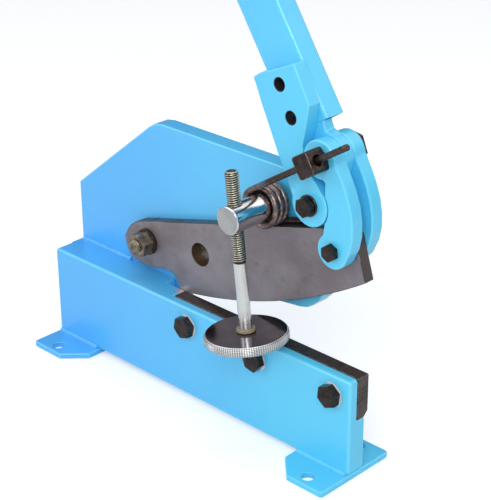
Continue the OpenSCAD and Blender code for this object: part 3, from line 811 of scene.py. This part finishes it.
def hex_head_master():
    """A hexagon head one unit high and one unit across flats, its corners turned off."""
    work = bmesh.new()
    steps = 72
    flat_r = 0.46
    slope = math.tan(math.radians(28))

    def around(k):
        angle = 2 * math.pi * k / steps
        folded = (angle + math.pi / 6) % (math.pi / 3) - math.pi / 6
        return angle, 0.5 / math.cos(folded)

    centre = work.verts.new((0, 0, 1))
    rings = [[], [], [], []]
    for k in range(steps):
        angle, reach = around(k)
        spot = Vector((math.cos(angle), math.sin(angle), 0))
        drop = (reach - flat_r) * slope
        rings[0].append(work.verts.new(spot * (flat_r - 0.012) + Vector((0, 0, 1))))
        rings[1].append(work.verts.new(spot * (flat_r + 0.006) + Vector((0, 0, 0.994))))
        rings[2].append(work.verts.new(spot * reach + Vector((0, 0, 1 - drop))))
        rings[3].append(work.verts.new(spot * reach))
    foot = work.verts.new((0, 0, 0))
    for k in range(steps):
        n = (k + 1) % steps
        work.faces.new((centre, rings[0][k], rings[0][n]))
        for a, b in zip(rings, rings[1:]):
            work.faces.new((a[k], b[k], b[n], a[n]))
        work.faces.new((rings[3][k], foot, rings[3][n]))
    return new_object("hex_head_master", mesh_from(work, "hex_head_master"))


def hex_fastener_tree():
    """Hexagon heads with their shanks, one on each point, turned by its own amount."""
    tree, start, end = new_geometry_tree("Hexagon Fasteners", [
        ("Head", "NodeSocketObject", None),
        ("Across Flats", "NodeSocketFloat", 0.019),
        ("Head Height", "NodeSocketFloat", 0.008),
        ("Shank Diameter", "NodeSocketFloat", 0.012),
        ("Shank Length", "NodeSocketFloat", 0.02),
        ("Material", "NodeSocketMaterial", None),
    ])
    head = place(tree, "GeometryNodeObjectInfo", {"Object": start.outputs["Head"]}, transform_space="ORIGINAL")
    size = place(tree, "ShaderNodeCombineXYZ", {
        "X": start.outputs["Across Flats"], "Y": start.outputs["Across Flats"], "Z": start.outputs["Head Height"]})
    sized = place(tree, "GeometryNodeTransform", {"Geometry": head.outputs["Geometry"], "Scale": size.outputs[0]})
    half = calc(tree, "DIVIDE", start.outputs["Shank Diameter"], 2.0)
    shank = place(tree, "GeometryNodeMeshCylinder", {
        "Vertices": 32, "Radius": half, "Depth": start.outputs["Shank Length"]})
    sunk = times(tree, start.outputs["Shank Length"], -0.5)
    below = place(tree, "ShaderNodeCombineXYZ", {"Z": plus(tree, sunk, 0.001)})
    lowered = place(tree, "GeometryNodeTransform", {"Geometry": shank.outputs[0], "Translation": below.outputs[0]})
    join = tree.nodes.new("GeometryNodeJoinGeometry")
    tree.links.new(sized.outputs[0], join.inputs[0])
    tree.links.new(lowered.outputs[0], join.inputs[0])
    turn = place(tree, "GeometryNodeInputNamedAttribute", data_type="FLOAT_VECTOR")
    turn.inputs["Name"].default_value = "turn"
    spread = place(tree, "GeometryNodeInstanceOnPoints", {
        "Points": start.outputs["Geometry"], "Instance": join.outputs[0]})
    tree.links.new(turn.outputs[0], spread.inputs["Rotation"])
    close_tree(tree, start, end, spread.outputs[0])
    return tree


def weld_bead_tree():
    """A rippled bead along each run of edges."""
    tree, start, end = new_geometry_tree("Weld Bead", [
        ("Bead Radius", "NodeSocketFloat", 0.003),
        ("Ripple Length", "NodeSocketFloat", 0.0024),
        ("Ripple Depth", "NodeSocketFloat", 0.1),
        ("Material", "NodeSocketMaterial", None),
    ])
    line = place(tree, "GeometryNodeMeshToCurve", {"Mesh": start.outputs["Geometry"]})
    step = calc(tree, "DIVIDE", start.outputs["Ripple Length"], 6.0)
    even = place(tree, "GeometryNodeResampleCurve", {"Curve": line.outputs[0]})
    even.mode = "LENGTH"
    feed(tree, even.inputs["Length"], step)
    count = tree.nodes.new("GeometryNodeInputIndex")
    wave = calc(tree, "SINE", times(tree, count.outputs[0], math.pi / 3))
    spot = tree.nodes.new("GeometryNodeInputPosition")
    uneven = place(tree, "ShaderNodeTexNoise", {"Vector": spot.outputs[0], "Scale": 95.0, "Detail": 2.0})
    drift = times(tree, minus(tree, uneven.outputs[0], 0.5), 0.5)
    ripple = times(tree, wave, start.outputs["Ripple Depth"])
    width = plus(tree, plus(tree, 0.88, drift), ripple)
    sized = place(tree, "GeometryNodeSetCurveRadius", {"Curve": even.outputs[0], "Radius": width})
    ring = place(tree, "GeometryNodeCurvePrimitiveCircle", {
        "Resolution": 12, "Radius": start.outputs["Bead Radius"]})
    body = place(tree, "GeometryNodeCurveToMesh", {"Curve": sized.outputs[0], "Profile Curve": ring.outputs[0]})
    if "Scale" in body.inputs:
        feed(tree, body.inputs["Scale"], width)
    body.inputs["Fill Caps"].default_value = True
    smooth = place(tree, "GeometryNodeSetShadeSmooth", {"Geometry": body.outputs[0]})
    close_tree(tree, start, end, smooth.outputs[0])
    return tree


def knurl_tree():
    """Rows of small points round a rim, each row shifted by half a step."""
    tree, start, end = new_geometry_tree("Knurled Rim", [
        ("Rim Radius", "NodeSocketFloat", 0.031),
        ("Points Round Rim", "NodeSocketInt", 112),
        ("Rows", "NodeSocketInt", 5),
        ("Row Step", "NodeSocketFloat", 0.001),
        ("Point Size", "NodeSocketFloat", 0.00095),
        ("Point Height", "NodeSocketFloat", 0.00042),
        ("Lowest Row", "NodeSocketFloat", 0.0019),
        ("Material", "NodeSocketMaterial", None),
    ])
    total = times(tree, start.outputs["Points Round Rim"], start.outputs["Rows"])
    points = place(tree, "GeometryNodePoints", {"Count": total})
    index = tree.nodes.new("GeometryNodeInputIndex").outputs[0]
    row = calc(tree, "FLOOR", calc(tree, "DIVIDE", plus(tree, index, 0.5), start.outputs["Points Round Rim"]))
    shifted = plus(tree, index, times(tree, row, 0.5))
    angle = calc(tree, "DIVIDE", times(tree, shifted, 2 * math.pi), start.outputs["Points Round Rim"])
    across = calc(tree, "COSINE", angle)
    along = calc(tree, "SINE", angle)
    rise = plus(tree, start.outputs["Lowest Row"], times(tree, row, start.outputs["Row Step"]))
    spot = place(tree, "ShaderNodeCombineXYZ", {
        "X": times(tree, across, start.outputs["Rim Radius"]),
        "Y": times(tree, along, start.outputs["Rim Radius"]), "Z": rise})
    moved = place(tree, "GeometryNodeSetPosition", {"Geometry": points.outputs[0], "Position": spot.outputs[0]})
    outward = place(tree, "ShaderNodeCombineXYZ", {"X": across, "Y": along})
    aim = place(tree, "FunctionNodeAlignRotationToVector", axis="Z")
    tree.links.new(outward.outputs[0], aim.inputs["Vector"])
    tip = place(tree, "GeometryNodeMeshCone", {
        "Vertices": 4, "Radius Bottom": start.outputs["Point Size"], "Depth": start.outputs["Point Height"]})
    spread = place(tree, "GeometryNodeInstanceOnPoints", {"Points": moved.outputs[0], "Instance": tip.outputs[0]})
    tree.links.new(aim.outputs[0], spread.inputs["Rotation"])
    join = tree.nodes.new("GeometryNodeJoinGeometry")
    tree.links.new(spread.outputs[0], join.inputs[0])
    tree.links.new(start.outputs["Geometry"], join.inputs[0])
    close_tree(tree, start, end, join.outputs[0])
    return tree


TREES = {}


def tree_named(name, maker):
    if name not in TREES:
        TREES[name] = maker()
    return TREES[name]


def hex_fasteners(name, places, across, height, shank_d, shank_l, look, slot, body, *nodes):
    """places are (X, Z, depth of the seat, turn in degrees, -1 to the front or 1 to the back)."""
    mesh = bpy.data.meshes.new(name)
    mesh.from_pydata([(x * MM, y * MM, z * MM) for x, z, y, _, _ in places], [], [])
    turns = mesh.attributes.new("turn", "FLOAT_VECTOR", "POINT")
    for k, (_, _, _, turn, side) in enumerate(places):
        turns.data[k].vector = (-side * math.pi / 2, math.radians(turn), 0)
    piece = new_object(name, mesh)
    master = bpy.data.objects.get("hex_head_master") or hex_head_master()
    run_tree(piece, tree_named("hex", hex_fastener_tree), {
        "Head": master, "Across Flats": across * MM, "Head Height": height * MM,
        "Shank Diameter": shank_d * MM, "Shank Length": shank_l * MM, "Material": finish(look)})
    soft_shade(piece, 24.0)
    return settle(piece, body, slot, *nodes)


def weld_bead(name, runs, radius, body):
    """One painted weld along each run of points, in millimetres."""
    spots, edges = [], []
    for run in runs:
        for k, spot in enumerate(run):
            if k:
                edges.append((len(spots) - 1, len(spots)))
            spots.append([v * MM for v in spot])
    mesh = bpy.data.meshes.new(name)
    mesh.from_pydata(spots, edges, [])
    piece = new_object(name, mesh)
    run_tree(piece, tree_named("weld", weld_bead_tree), {
        "Bead Radius": radius * MM, "Ripple Length": 3.2 * MM, "Ripple Depth": 0.07, "Material": finish("paint")})
    return settle(piece, body, "blue_paint")


# ---------------------------------------------------------------- settings


class ShearFinish(bpy.types.PropertyGroup):
    paint: FloatVectorProperty(
        name="Paint", description="Colour of the blue paint", subtype="COLOR", size=4,
        min=0, max=1, default=(0.1, 0.57, 0.93, 1))
    chips: FloatProperty(
        name="Chips", description="How much paint is knocked off the edges",
        min=0, max=1, default=0.32, subtype="FACTOR")
    blade: FloatVectorProperty(
        name="Upper Blade", description="Colour of the ground upper blade", subtype="COLOR", size=4,
        min=0, max=1, default=(0.275, 0.25, 0.268, 1))
    plate_round: FloatProperty(
        name="Plate Edge", description="Rounding of the painted plates' edges, in millimetres",
        min=0.2, max=2.5, default=1.2)


class ShearSpring(bpy.types.PropertyGroup):
    wire: FloatProperty(
        name="Wire", description="Diameter of the spring's wire, in millimetres", min=4.4, max=5.2, default=5.0)
    coil_radius: FloatProperty(
        name="Coil Radius", description="Radius of the coil at the middle of the wire, in millimetres",
        min=14.6, max=15.6, default=15.0)
    pitch: FloatProperty(
        name="Pitch", description="Distance from one curl to the next, in millimetres", min=5.5, max=6, default=5.55)
    past_block: FloatProperty(
        name="Past Block", description="Length of wire past the swivel block, in millimetres",
        min=28, max=50, default=40)


class ShearHolddown(bpy.types.PropertyGroup):
    thread_length: FloatProperty(
        name="Thread", description="Threaded length of the screw, in millimetres", min=66, max=80, default=72)
    thread_pitch: FloatProperty(
        name="Thread Pitch", description="Pitch of the screw's thread, in millimetres", min=1, max=2.5, default=1.75)
    disc_diameter: FloatProperty(
        name="Disc", description="Diameter of the pressure disc, in millimetres", min=50, max=68, default=67)
    knurl_points: IntProperty(
        name="Knurl", description="Number of knurl points round the disc's rim", min=60, max=220, default=112)


class ShearStage(bpy.types.PropertyGroup):
    key_power: FloatProperty(
        name="Key Lamp", description="Power of the key lamp", min=0, max=60, default=15, unit="POWER")
    fill: FloatProperty(
        name="Sky", description="Strength of the soft light from all sides", min=0, max=2, default=0.55)
    floor: FloatVectorProperty(
        name="Floor", description="Colour of the floor", subtype="COLOR", size=4,
        min=0, max=1, default=(0.86, 0.87, 0.88, 1))


# ---------------------------------------------------------------- operators


class DressedRows:
    """An operator whose pieces are dressed copies: node, rounding, slot and finish of each."""

    rows = ()

    def execute(self, context):
        for row in self.rows:
            dressed_copy(*row)
        return {"FINISHED"}


class SHEAR_OT_frame_plates(bpy.types.Operator):
    """Makes the painted frame: front plate, spacer, back plate, feet and their welds"""

    bl_idname = "shear.frame_plates"
    bl_label = "Frame Plates"

    def execute(self, context):
        soft = context.scene.shear_finish.plate_round

        def on_seam(spot):
            return abs(spot.y - FRONT_PLATE_BACK) < 0.05 and spot.z > PLATE_TOP - 4 and spot.x < -20

        dressed_copy("front_plate", soft + 0.6, "blue_paint", "shelf_paint", seam=on_seam)
        dressed_copy("spacer_block", 0.8, "blue_paint", "shelf_paint", seam=on_seam)
        dressed_copy("back_plate", soft, "blue_paint", "back_paint")
        for side in ("left_foot", "right_foot"):
            dressed_copy(side, 0.9, "blue_paint", "paint")
        weld_bead("weld_shelf", [
            [(LEFT + 3, BACK_PLATE_FRONT - 0.6, PLATE_TOP + 0.4), (-105, BACK_PLATE_FRONT - 0.6, PLATE_TOP + 0.4)]],
            3.0, "frame")
        feet = [[(a, FRONT_PLATE_FRONT, 5.2), (b, FRONT_PLATE_FRONT, 5.2)]
                for a, b in ((-170.5, -120.5), (120.5, 170.5))]
        weld_bead("weld_feet", feet, 3.3, "frame")
        ends = [[(side * 170.1, FRONT_PLATE_FRONT + 1.5, 6.2), (side * 170.1, depth, 6.2)]
                for side, depth in ((-1, BACK_PLATE_BACK - 2), (1, FRONT_PLATE_BACK - 1.5))]
        weld_bead("weld_ends", ends, 2.1, "frame")
        return {"FINISHED"}


class SHEAR_OT_blades(DressedRows, bpy.types.Operator):
    """Makes the two blades and the bush in the upper blade"""

    bl_idname = "shear.blades"
    bl_label = "Blades"

    rows = (
        ("lower_blade", 0.4, "dark_tool_steel", "lower_blade"),
        ("upper_blade", 0.6, "ground_blade_steel", "blade"),
        ("blade_link_bush", 0.3, "pin_steel", "pin"),
    )


class SHEAR_OT_lever(DressedRows, bpy.types.Operator):
    """Makes the lever: cheek, inner plate, tube and end cap"""

    bl_idname = "shear.lever"
    bl_label = "Lever"

    rows = (
        ("lever_cheek", 1.0, "blue_paint", "cheek_paint"),
        ("lever_inner_plate", 0.8, "blue_paint", "paint"),
        ("lever_tube", 0.4, "blue_paint", "cheek_paint"),
        ("handle_cap", 0.8, "black_plastic", "plastic"),
    )


class SHEAR_OT_links(DressedRows, bpy.types.Operator):
    """Makes the front link and its twin behind the blade"""

    bl_idname = "shear.links"
    bl_label = "Links"

    rows = [(node, 1.2, "blue_paint", "paint") for node in ("front_link", "rear_link")]


class SHEAR_OT_fasteners(DressedRows, bpy.types.Operator):
    """Makes the screws, bolts, nuts, washers and pins"""

    bl_idname = "shear.fasteners"
    bl_label = "Fasteners"
    rows = (
        ("blade_pivot_bolt", 0.4, "bronzed_steel", "nut"),
        ("blade_pivot_washer", 0.5, "bronzed_steel", "washer"),
        ("blade_pivot_rear_washer", 0.5, "bronzed_steel", "washer"),
        ("lever_pivot_washer", 0.3, "black_bolts", "black"),
        ("lever_pivot_nut", 0.5, "black_bolts", "black"),
        ("link_lower_nut", 0.5, "black_bolts", "black"),
        ("link_upper_nut", 0.5, "black_bolts", "black"),
        ("link_upper_pin", 0.4, "pin_steel", "pin"),
    )

    def execute(self, context):
        screws = [(x, SCREW_Z, FRONT_PLATE_FRONT, t, -1) for x, t in zip(SCREW_X, (12, 40, 66))]
        hex_fasteners("blade_screw_set", screws, 17, 6, 12, 19.4, "black", "black_bolts", "frame", "blade_screws")
        hex_fasteners("link_lower_bolt_dressed", [(*LOWER_PIN, 0.0, -6, -1)], 12, 5, 8, 12.9,
                      "black", "black_bolts", "links", "link_lower_bolt")
        hex_fasteners("lever_pivot_bolt_dressed", [(*LEVER_PIVOT, -1.7, 0, -1)], 14, 5.5, 10, 51.0,
                      "black", "black_bolts", "frame", "lever_pivot_bolt")
        hex_fasteners("blade_pivot_nut_dressed", [(*BLADE_PIVOT, BLADE_FRONT - 3, 12, -1)], 19, 10.8, 11.6, 1.5,
                      "nut", "bronzed_steel", "frame", "blade_pivot_nut")
        return DressedRows.execute(self, context)


class SHEAR_OT_swivel_block(DressedRows, bpy.types.Operator):
    """Makes the block that the spring's arm slides through"""

    bl_idname = "shear.swivel_block"
    bl_label = "Swivel Block"

    rows = (("swivel_block", 0.7, "black_block", "black"),)


class SHEAR_OT_spring(bpy.types.Operator):
    """Makes the torsion spring as one unbroken wire"""

    bl_idname = "shear.spring"
    bl_label = "Torsion Spring"

    def execute(self, context):
        size = context.scene.shear_spring
        leg_y = BACK_PLATE_FRONT - size.wire / 2 - 0.3
        gap = math.hypot(UPPER_PIN[0] - ROD[0], UPPER_PIN[1] - ROD[1])
        arm_angle = math.degrees(
            math.atan2(UPPER_PIN[1] - ROD[1], UPPER_PIN[0] - ROD[0]) - math.asin(size.coil_radius / gap))
        arm_reach = math.sqrt(gap * gap - size.coil_radius ** 2)
        curls = 3 + (LEG_ANGLE - arm_angle + 180) / 360
        front_y = leg_y - size.pitch * curls

        def turned(x, z, degrees):
            a = math.radians(degrees)
            return (ROD[0] + x * math.cos(a) - z * math.sin(a), ROD[1] + x * math.sin(a) + z * math.cos(a))

        def arm(d, y):
            x, z = turned(d, size.coil_radius, arm_angle)
            return Vector((x, y, z))

        def leg(d, y):
            x, z = turned(d, -size.coil_radius, LEG_ANGLE)
            return Vector((x, y, z))

        straight = int((size.past_block + 40) // 4)
        path = [arm(arm_reach + size.past_block - k * 4, BLOCK_MIDDLE_Y) for k in range(straight)]
        begin = arm_reach - 40
        for k in range(25):
            s = k / 24
            f = (1 - math.cos(math.pi * s)) / 2
            path.append(arm(begin * (1 - s) + 1.5 * s, BLOCK_MIDDLE_Y + (front_y - BLOCK_MIDDLE_Y) * f))
        steps = int(curls * 40)
        for k in range(steps + 1):
            t = curls * k / steps
            x, z = turned(0, size.coil_radius, arm_angle + 360 * t)
            path.append(Vector((x, front_y + size.pitch * t, z)))
        for k in range(1, 7):
            path.append(leg(LEG_REACH * k / 6, leg_y))
        tip = LEG_REACH + LEG_BEND
        for k in range(1, 6):
            a = math.pi / 2 * k / 5
            path.append(leg(tip - 3.6 + 3.6 * math.sin(a), leg_y + 3.6 * (1 - math.cos(a))))
        path.append(leg(tip, BACK_PLATE_FRONT + 8))
        spring = swept_tube("torsion_spring_wire", path, size.wire / 2, 18)
        spring.data.materials.append(finish("wire"))
        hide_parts("torsion_spring")
        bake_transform(spring)
        return {"FINISHED"}


class SHEAR_OT_cross_rod(DressedRows, bpy.types.Operator):
    """Makes the chromed cross rod and its nut"""

    bl_idname = "shear.cross_rod"
    bl_label = "Cross Rod"

    rows = (("cross_rod", 0.5, "chromed_steel", "chrome"), ("cross_rod_nut", 0.6, "black_bolts", "black"))


class SHEAR_OT_holddown_screw(bpy.types.Operator):
    """Makes the hold-down screw with its cut thread, and the ring on its shank"""

    bl_idname = "shear.holddown_screw"
    bl_label = "Hold-down Screw"

    def execute(self, context):
        size = context.scene.shear_holddown
        top = CLAMP_ABOVE
        low = CLAMP_ABOVE - size.thread_length
        outer, root, shank = 5.5, 4.55, 5.1
        sides, rows_per_turn = 36, 8
        shape = [(0.0, 0.0), (0.12, 0.0), (0.28, 0.35), (0.44, 0.75), (0.56, 0.94), (0.62, 1.0), (0.74, 1.0),
                 (0.84, 0.55), (1.0, 0.0)]

        def depth(f):
            for (a, da), (b, db) in zip(shape, shape[1:]):
                if a <= f <= b:
                    return da + (db - da) * (f - a) / (b - a)
            return 0.0

        rows = int(size.thread_length / size.thread_pitch * rows_per_turn)
        work = bmesh.new()
        rings = []

        def ring(radii, height, look):
            rings.append((ring_of(work, radii, height), look))

        for height, radius in ((-CLAMP_BELOW + 3, shank), (low - 1.4, shank), (low - 0.9, root + 0.1)):
            ring([radius] * sides, height, 1)
        for row in range(rows + 1):
            height = low + (size.thread_length - 1.2) * row / rows
            fade = min(1.0, row / rows_per_turn, (rows - row) / (rows_per_turn * 0.7))
            turns = [((height - low) / size.thread_pitch - k / sides) % 1.0 for k in range(sides)]
            ring([outer - (outer - root) * (depth(t) * fade + (1 - fade) * 0.75) for t in turns], height, 0)
        ring([root - 0.3] * sides, top - 0.4, 0)
        ring([root - 1.0] * sides, top, 0)
        for (a, _), (b, look) in zip(rings, rings[1:]):
            bridge(work, a, b, look)
        work.faces.new(rings[0][0][::-1]).material_index = 1
        work.faces.new(rings[-1][0])
        bmesh.ops.transform(work, matrix=clamp_frame(), verts=work.verts)
        mesh = mesh_from(work, "holddown_screw_threaded")
        marks = mesh.attributes.new("root", "FLOAT", "POINT")
        away = clamp_frame().inverted()
        for k, vertex in enumerate(mesh.vertices):
            spot = away @ vertex.co
            reach = math.hypot(spot.x, spot.y) / MM
            deep = max(0.0, min(1.0, (outer - reach) / (outer - root)))
            marks.data[k].value = deep if spot.z / MM < top - 1.0 else 0.0
        mesh.materials.append(finish("zinc"))
        mesh.materials.append(finish("shank"))
        piece = soft_shade(new_object("holddown_screw_threaded", mesh), 60.0)
        settle(piece, "holddown", "zinc_thread", "holddown_screw")
        dressed_copy("shank_ring", 0.4, "tan_ring", "ring")
        return {"FINISHED"}


class SHEAR_OT_pressure_disc(bpy.types.Operator):
    """Makes the knurled pressure disc"""

    bl_idname = "shear.pressure_disc"
    bl_label = "Pressure Disc"

    def execute(self, context):
        size = context.scene.shear_holddown
        r = size.disc_diameter / 2
        inner = r - 0.42
        hole = 5.1
        profile = [(0, 0), (r - 2.2, 0), (r - 1.6, 0.12), (inner, 1.3), (inner, 6.7), (r - 1.6, 7.88), (r - 2.2, 8),
                   (8.4, 8), (8.0, 7.9), (hole, 7.9), (hole, 3.0), (0, 3.0)]
        piece = lathe("pressure_disc_knurled", profile, 128)
        run_tree(piece, tree_named("knurl", knurl_tree), {
            "Rim Radius": (inner - 0.02) * MM, "Points Round Rim": size.knurl_points, "Rows": 5,
            "Row Step": 1.0 * MM, "Point Size": 0.95 * MM, "Point Height": 0.42 * MM, "Lowest Row": 1.9 * MM,
            "Material": finish("disc")})
        piece.data.transform(clamp_frame() @ Matrix.Translation((0, 0, -CLAMP_BELOW * MM)))
        soft_shade(piece, 18.0)
        settle(piece, "holddown", "chromed_steel", "pressure_disc")
        return {"FINISHED"}


def mixed(tree, fac, a, b):
    """From shader a to shader b."""
    mix = tree.nodes.new("ShaderNodeMixShader")
    for socket, value in zip(mix.inputs, (fac, a, b)):
        tree.links.new(value, socket)
    return mix.outputs[0]


def seen_directly(tree, path):
    """1 for what the camera sees, also through a clear gap."""
    return calc(tree, "MAXIMUM", path.outputs["Is Camera Ray"], path.outputs["Is Transmission Ray"])


class SHEAR_OT_stage(bpy.types.Operator):
    """Makes the floor, the lamps, the sky and the camera"""

    bl_idname = "shear.stage"
    bl_label = "Stage"

    def execute(self, context):
        stage = context.scene.shear_stage
        mesh = bpy.data.meshes.new("studio_floor")
        level, reach = -0.0002, 4
        corners = ((-reach, -reach), (reach, -reach), (reach, reach), (-reach, reach))
        mesh.from_pydata([(x, y, level) for x, y in corners], [], [(0, 1, 2, 3)])
        floor = new_object("studio_floor", mesh)
        made = bpy.data.materials.new("Studio Floor")
        made.use_nodes = True
        tree = made.node_tree
        shader = tree.nodes["Principled BSDF"]
        shader.inputs["Base Color"].default_value = stage.floor
        shader.inputs["Roughness"].default_value = 0.9
        shader.inputs["Specular IOR Level"].default_value = 0.1
        glow = place(tree, "ShaderNodeEmission", {"Color": (1, 1, 1, 1), "Strength": 0.35})
        total = tree.nodes.new("ShaderNodeAddShader")
        tree.links.new(shader.outputs[0], total.inputs[0])
        tree.links.new(glow.outputs[0], total.inputs[1])
        seen = seen_directly(tree, tree.nodes.new("ShaderNodeLightPath"))
        lit = mixed(tree, seen, shader.outputs[0], total.outputs[0])
        tree.links.new(lit, tree.nodes["Material Output"].inputs[0])
        mesh.materials.append(made)

        world = bpy.data.worlds.new("Studio Sky")
        context.scene.world = world
        world.use_nodes = True
        tree = world.node_tree
        sky = tree.nodes["Background"]
        sky.inputs["Color"].default_value = (0.95, 0.97, 1.0, 1)
        sky.inputs["Strength"].default_value = stage.fill
        white = place(tree, "ShaderNodeBackground", {"Color": (1, 1, 1, 1), "Strength": 1.0})
        way = place(tree, "ShaderNodeTexCoord").outputs["Generated"]
        height = place(tree, "ShaderNodeSeparateXYZ", {"Vector": way}).outputs[2]
        bright = ramp(tree, height, -0.25, 0.55, 0.12, 1.05)
        for aim, near, far, gain in (((-0.63, 0.65, 0.42), 0.985, 0.86, -0.94), ((0.45, 0.66, 0.6), 0.97, 0.85, 0.6)):
            patch = ramp(tree, vector(tree, "DOT_PRODUCT", way, Vector(aim).normalized()), far, near)
            bright = times(tree, bright, plus(tree, 1.0, times(tree, patch, gain)))
        shine = place(tree, "ShaderNodeBackground", {"Color": (1, 1, 1, 1), "Strength": bright})
        path = tree.nodes.new("ShaderNodeLightPath")
        lit = mixed(tree, path.outputs["Is Glossy Ray"], sky.outputs[0], shine.outputs[0])
        lit = mixed(tree, seen_directly(tree, path), lit, white.outputs[0])
        tree.links.new(lit, tree.nodes["World Output"].inputs[0])

        middle = Vector((0.0, 0.0, 0.17))
        for name, spot, size, power in (
            ("key_lamp", (1.05, -1.15, 1.35), 0.9, stage.key_power),
            ("side_lamp", (-0.9, -1.5, 0.9), 1.1, stage.key_power * 0.45),
            ("top_lamp", (0.1, 0.3, 1.8), 1.2, stage.key_power * 0.35),
        ):
            lamp = bpy.data.lights.new(name, "AREA")
            lamp.size = size
            lamp.energy = power
            holder = new_object(name, lamp)
            holder.location = spot
            holder.rotation_euler = (middle - Vector(spot)).to_track_quat("-Z", "Y").to_euler()

        optics = bpy.data.cameras.new("shear_camera")
        optics.lens = CAMERA_LENS
        optics.sensor_width = 36
        optics.sensor_fit = "AUTO"
        optics.clip_start, optics.clip_end = 0.01, 20
        camera = new_object("shear_camera", optics)
        turn = Matrix((CAMERA_RIGHT, CAMERA_UP, -Vector(CAMERA_FORWARD))).transposed().to_4x4()
        camera.matrix_world = Matrix.Translation(CAMERA_PLACE) @ turn
        context.scene.camera = camera
        context.scene.view_settings.view_transform = "Standard"
        return {"FINISHED"}


class SHEAR_PT_panel(bpy.types.Panel):
    """The shear's settings and its pieces, in the order in which they are made"""

    bl_label = "Lever Shear"
    bl_idname = "SHEAR_PT_panel"
    bl_space_type = "VIEW_3D"
    bl_region_type = "UI"
    bl_category = "Lever Shear"

    def draw(self, context):
        scene = context.scene
        for settings in (scene.shear_finish, scene.shear_spring, scene.shear_holddown, scene.shear_stage):
            box = self.layout.box()
            for key in settings.__annotations__:
                box.prop(settings, key)
        for maker in MAKERS:
            self.layout.operator(maker.bl_idname)


MAKERS = (
    SHEAR_OT_frame_plates,
    SHEAR_OT_blades,
    SHEAR_OT_lever,
    SHEAR_OT_links,
    SHEAR_OT_fasteners,
    SHEAR_OT_swivel_block,
    SHEAR_OT_spring,
    SHEAR_OT_cross_rod,
    SHEAR_OT_holddown_screw,
    SHEAR_OT_pressure_disc,
    SHEAR_OT_stage,
)
SETTINGS = {
    "shear_finish": ShearFinish,
    "shear_spring": ShearSpring,
    "shear_holddown": ShearHolddown,
    "shear_stage": ShearStage,
}


def register():
    for kind in (*SETTINGS.values(), *MAKERS, SHEAR_PT_panel):
        bpy.utils.register_class(kind)
    for name, kind in SETTINGS.items():
        setattr(bpy.types.Scene, name, PointerProperty(type=kind))


def unregister():
    for name in SETTINGS:
        delattr(bpy.types.Scene, name)
    for kind in reversed((*SETTINGS.values(), *MAKERS, SHEAR_PT_panel)):
        bpy.utils.unregister_class(kind)


def main():
    register()
    for maker in MAKERS:
        group, name = maker.bl_idname.split(".")
        getattr(getattr(bpy.ops, group), name)()
    master = bpy.data.objects.get("hex_head_master")
    if master:
        bpy.data.objects.remove(master)


if __name__ == "__main__":
    main()
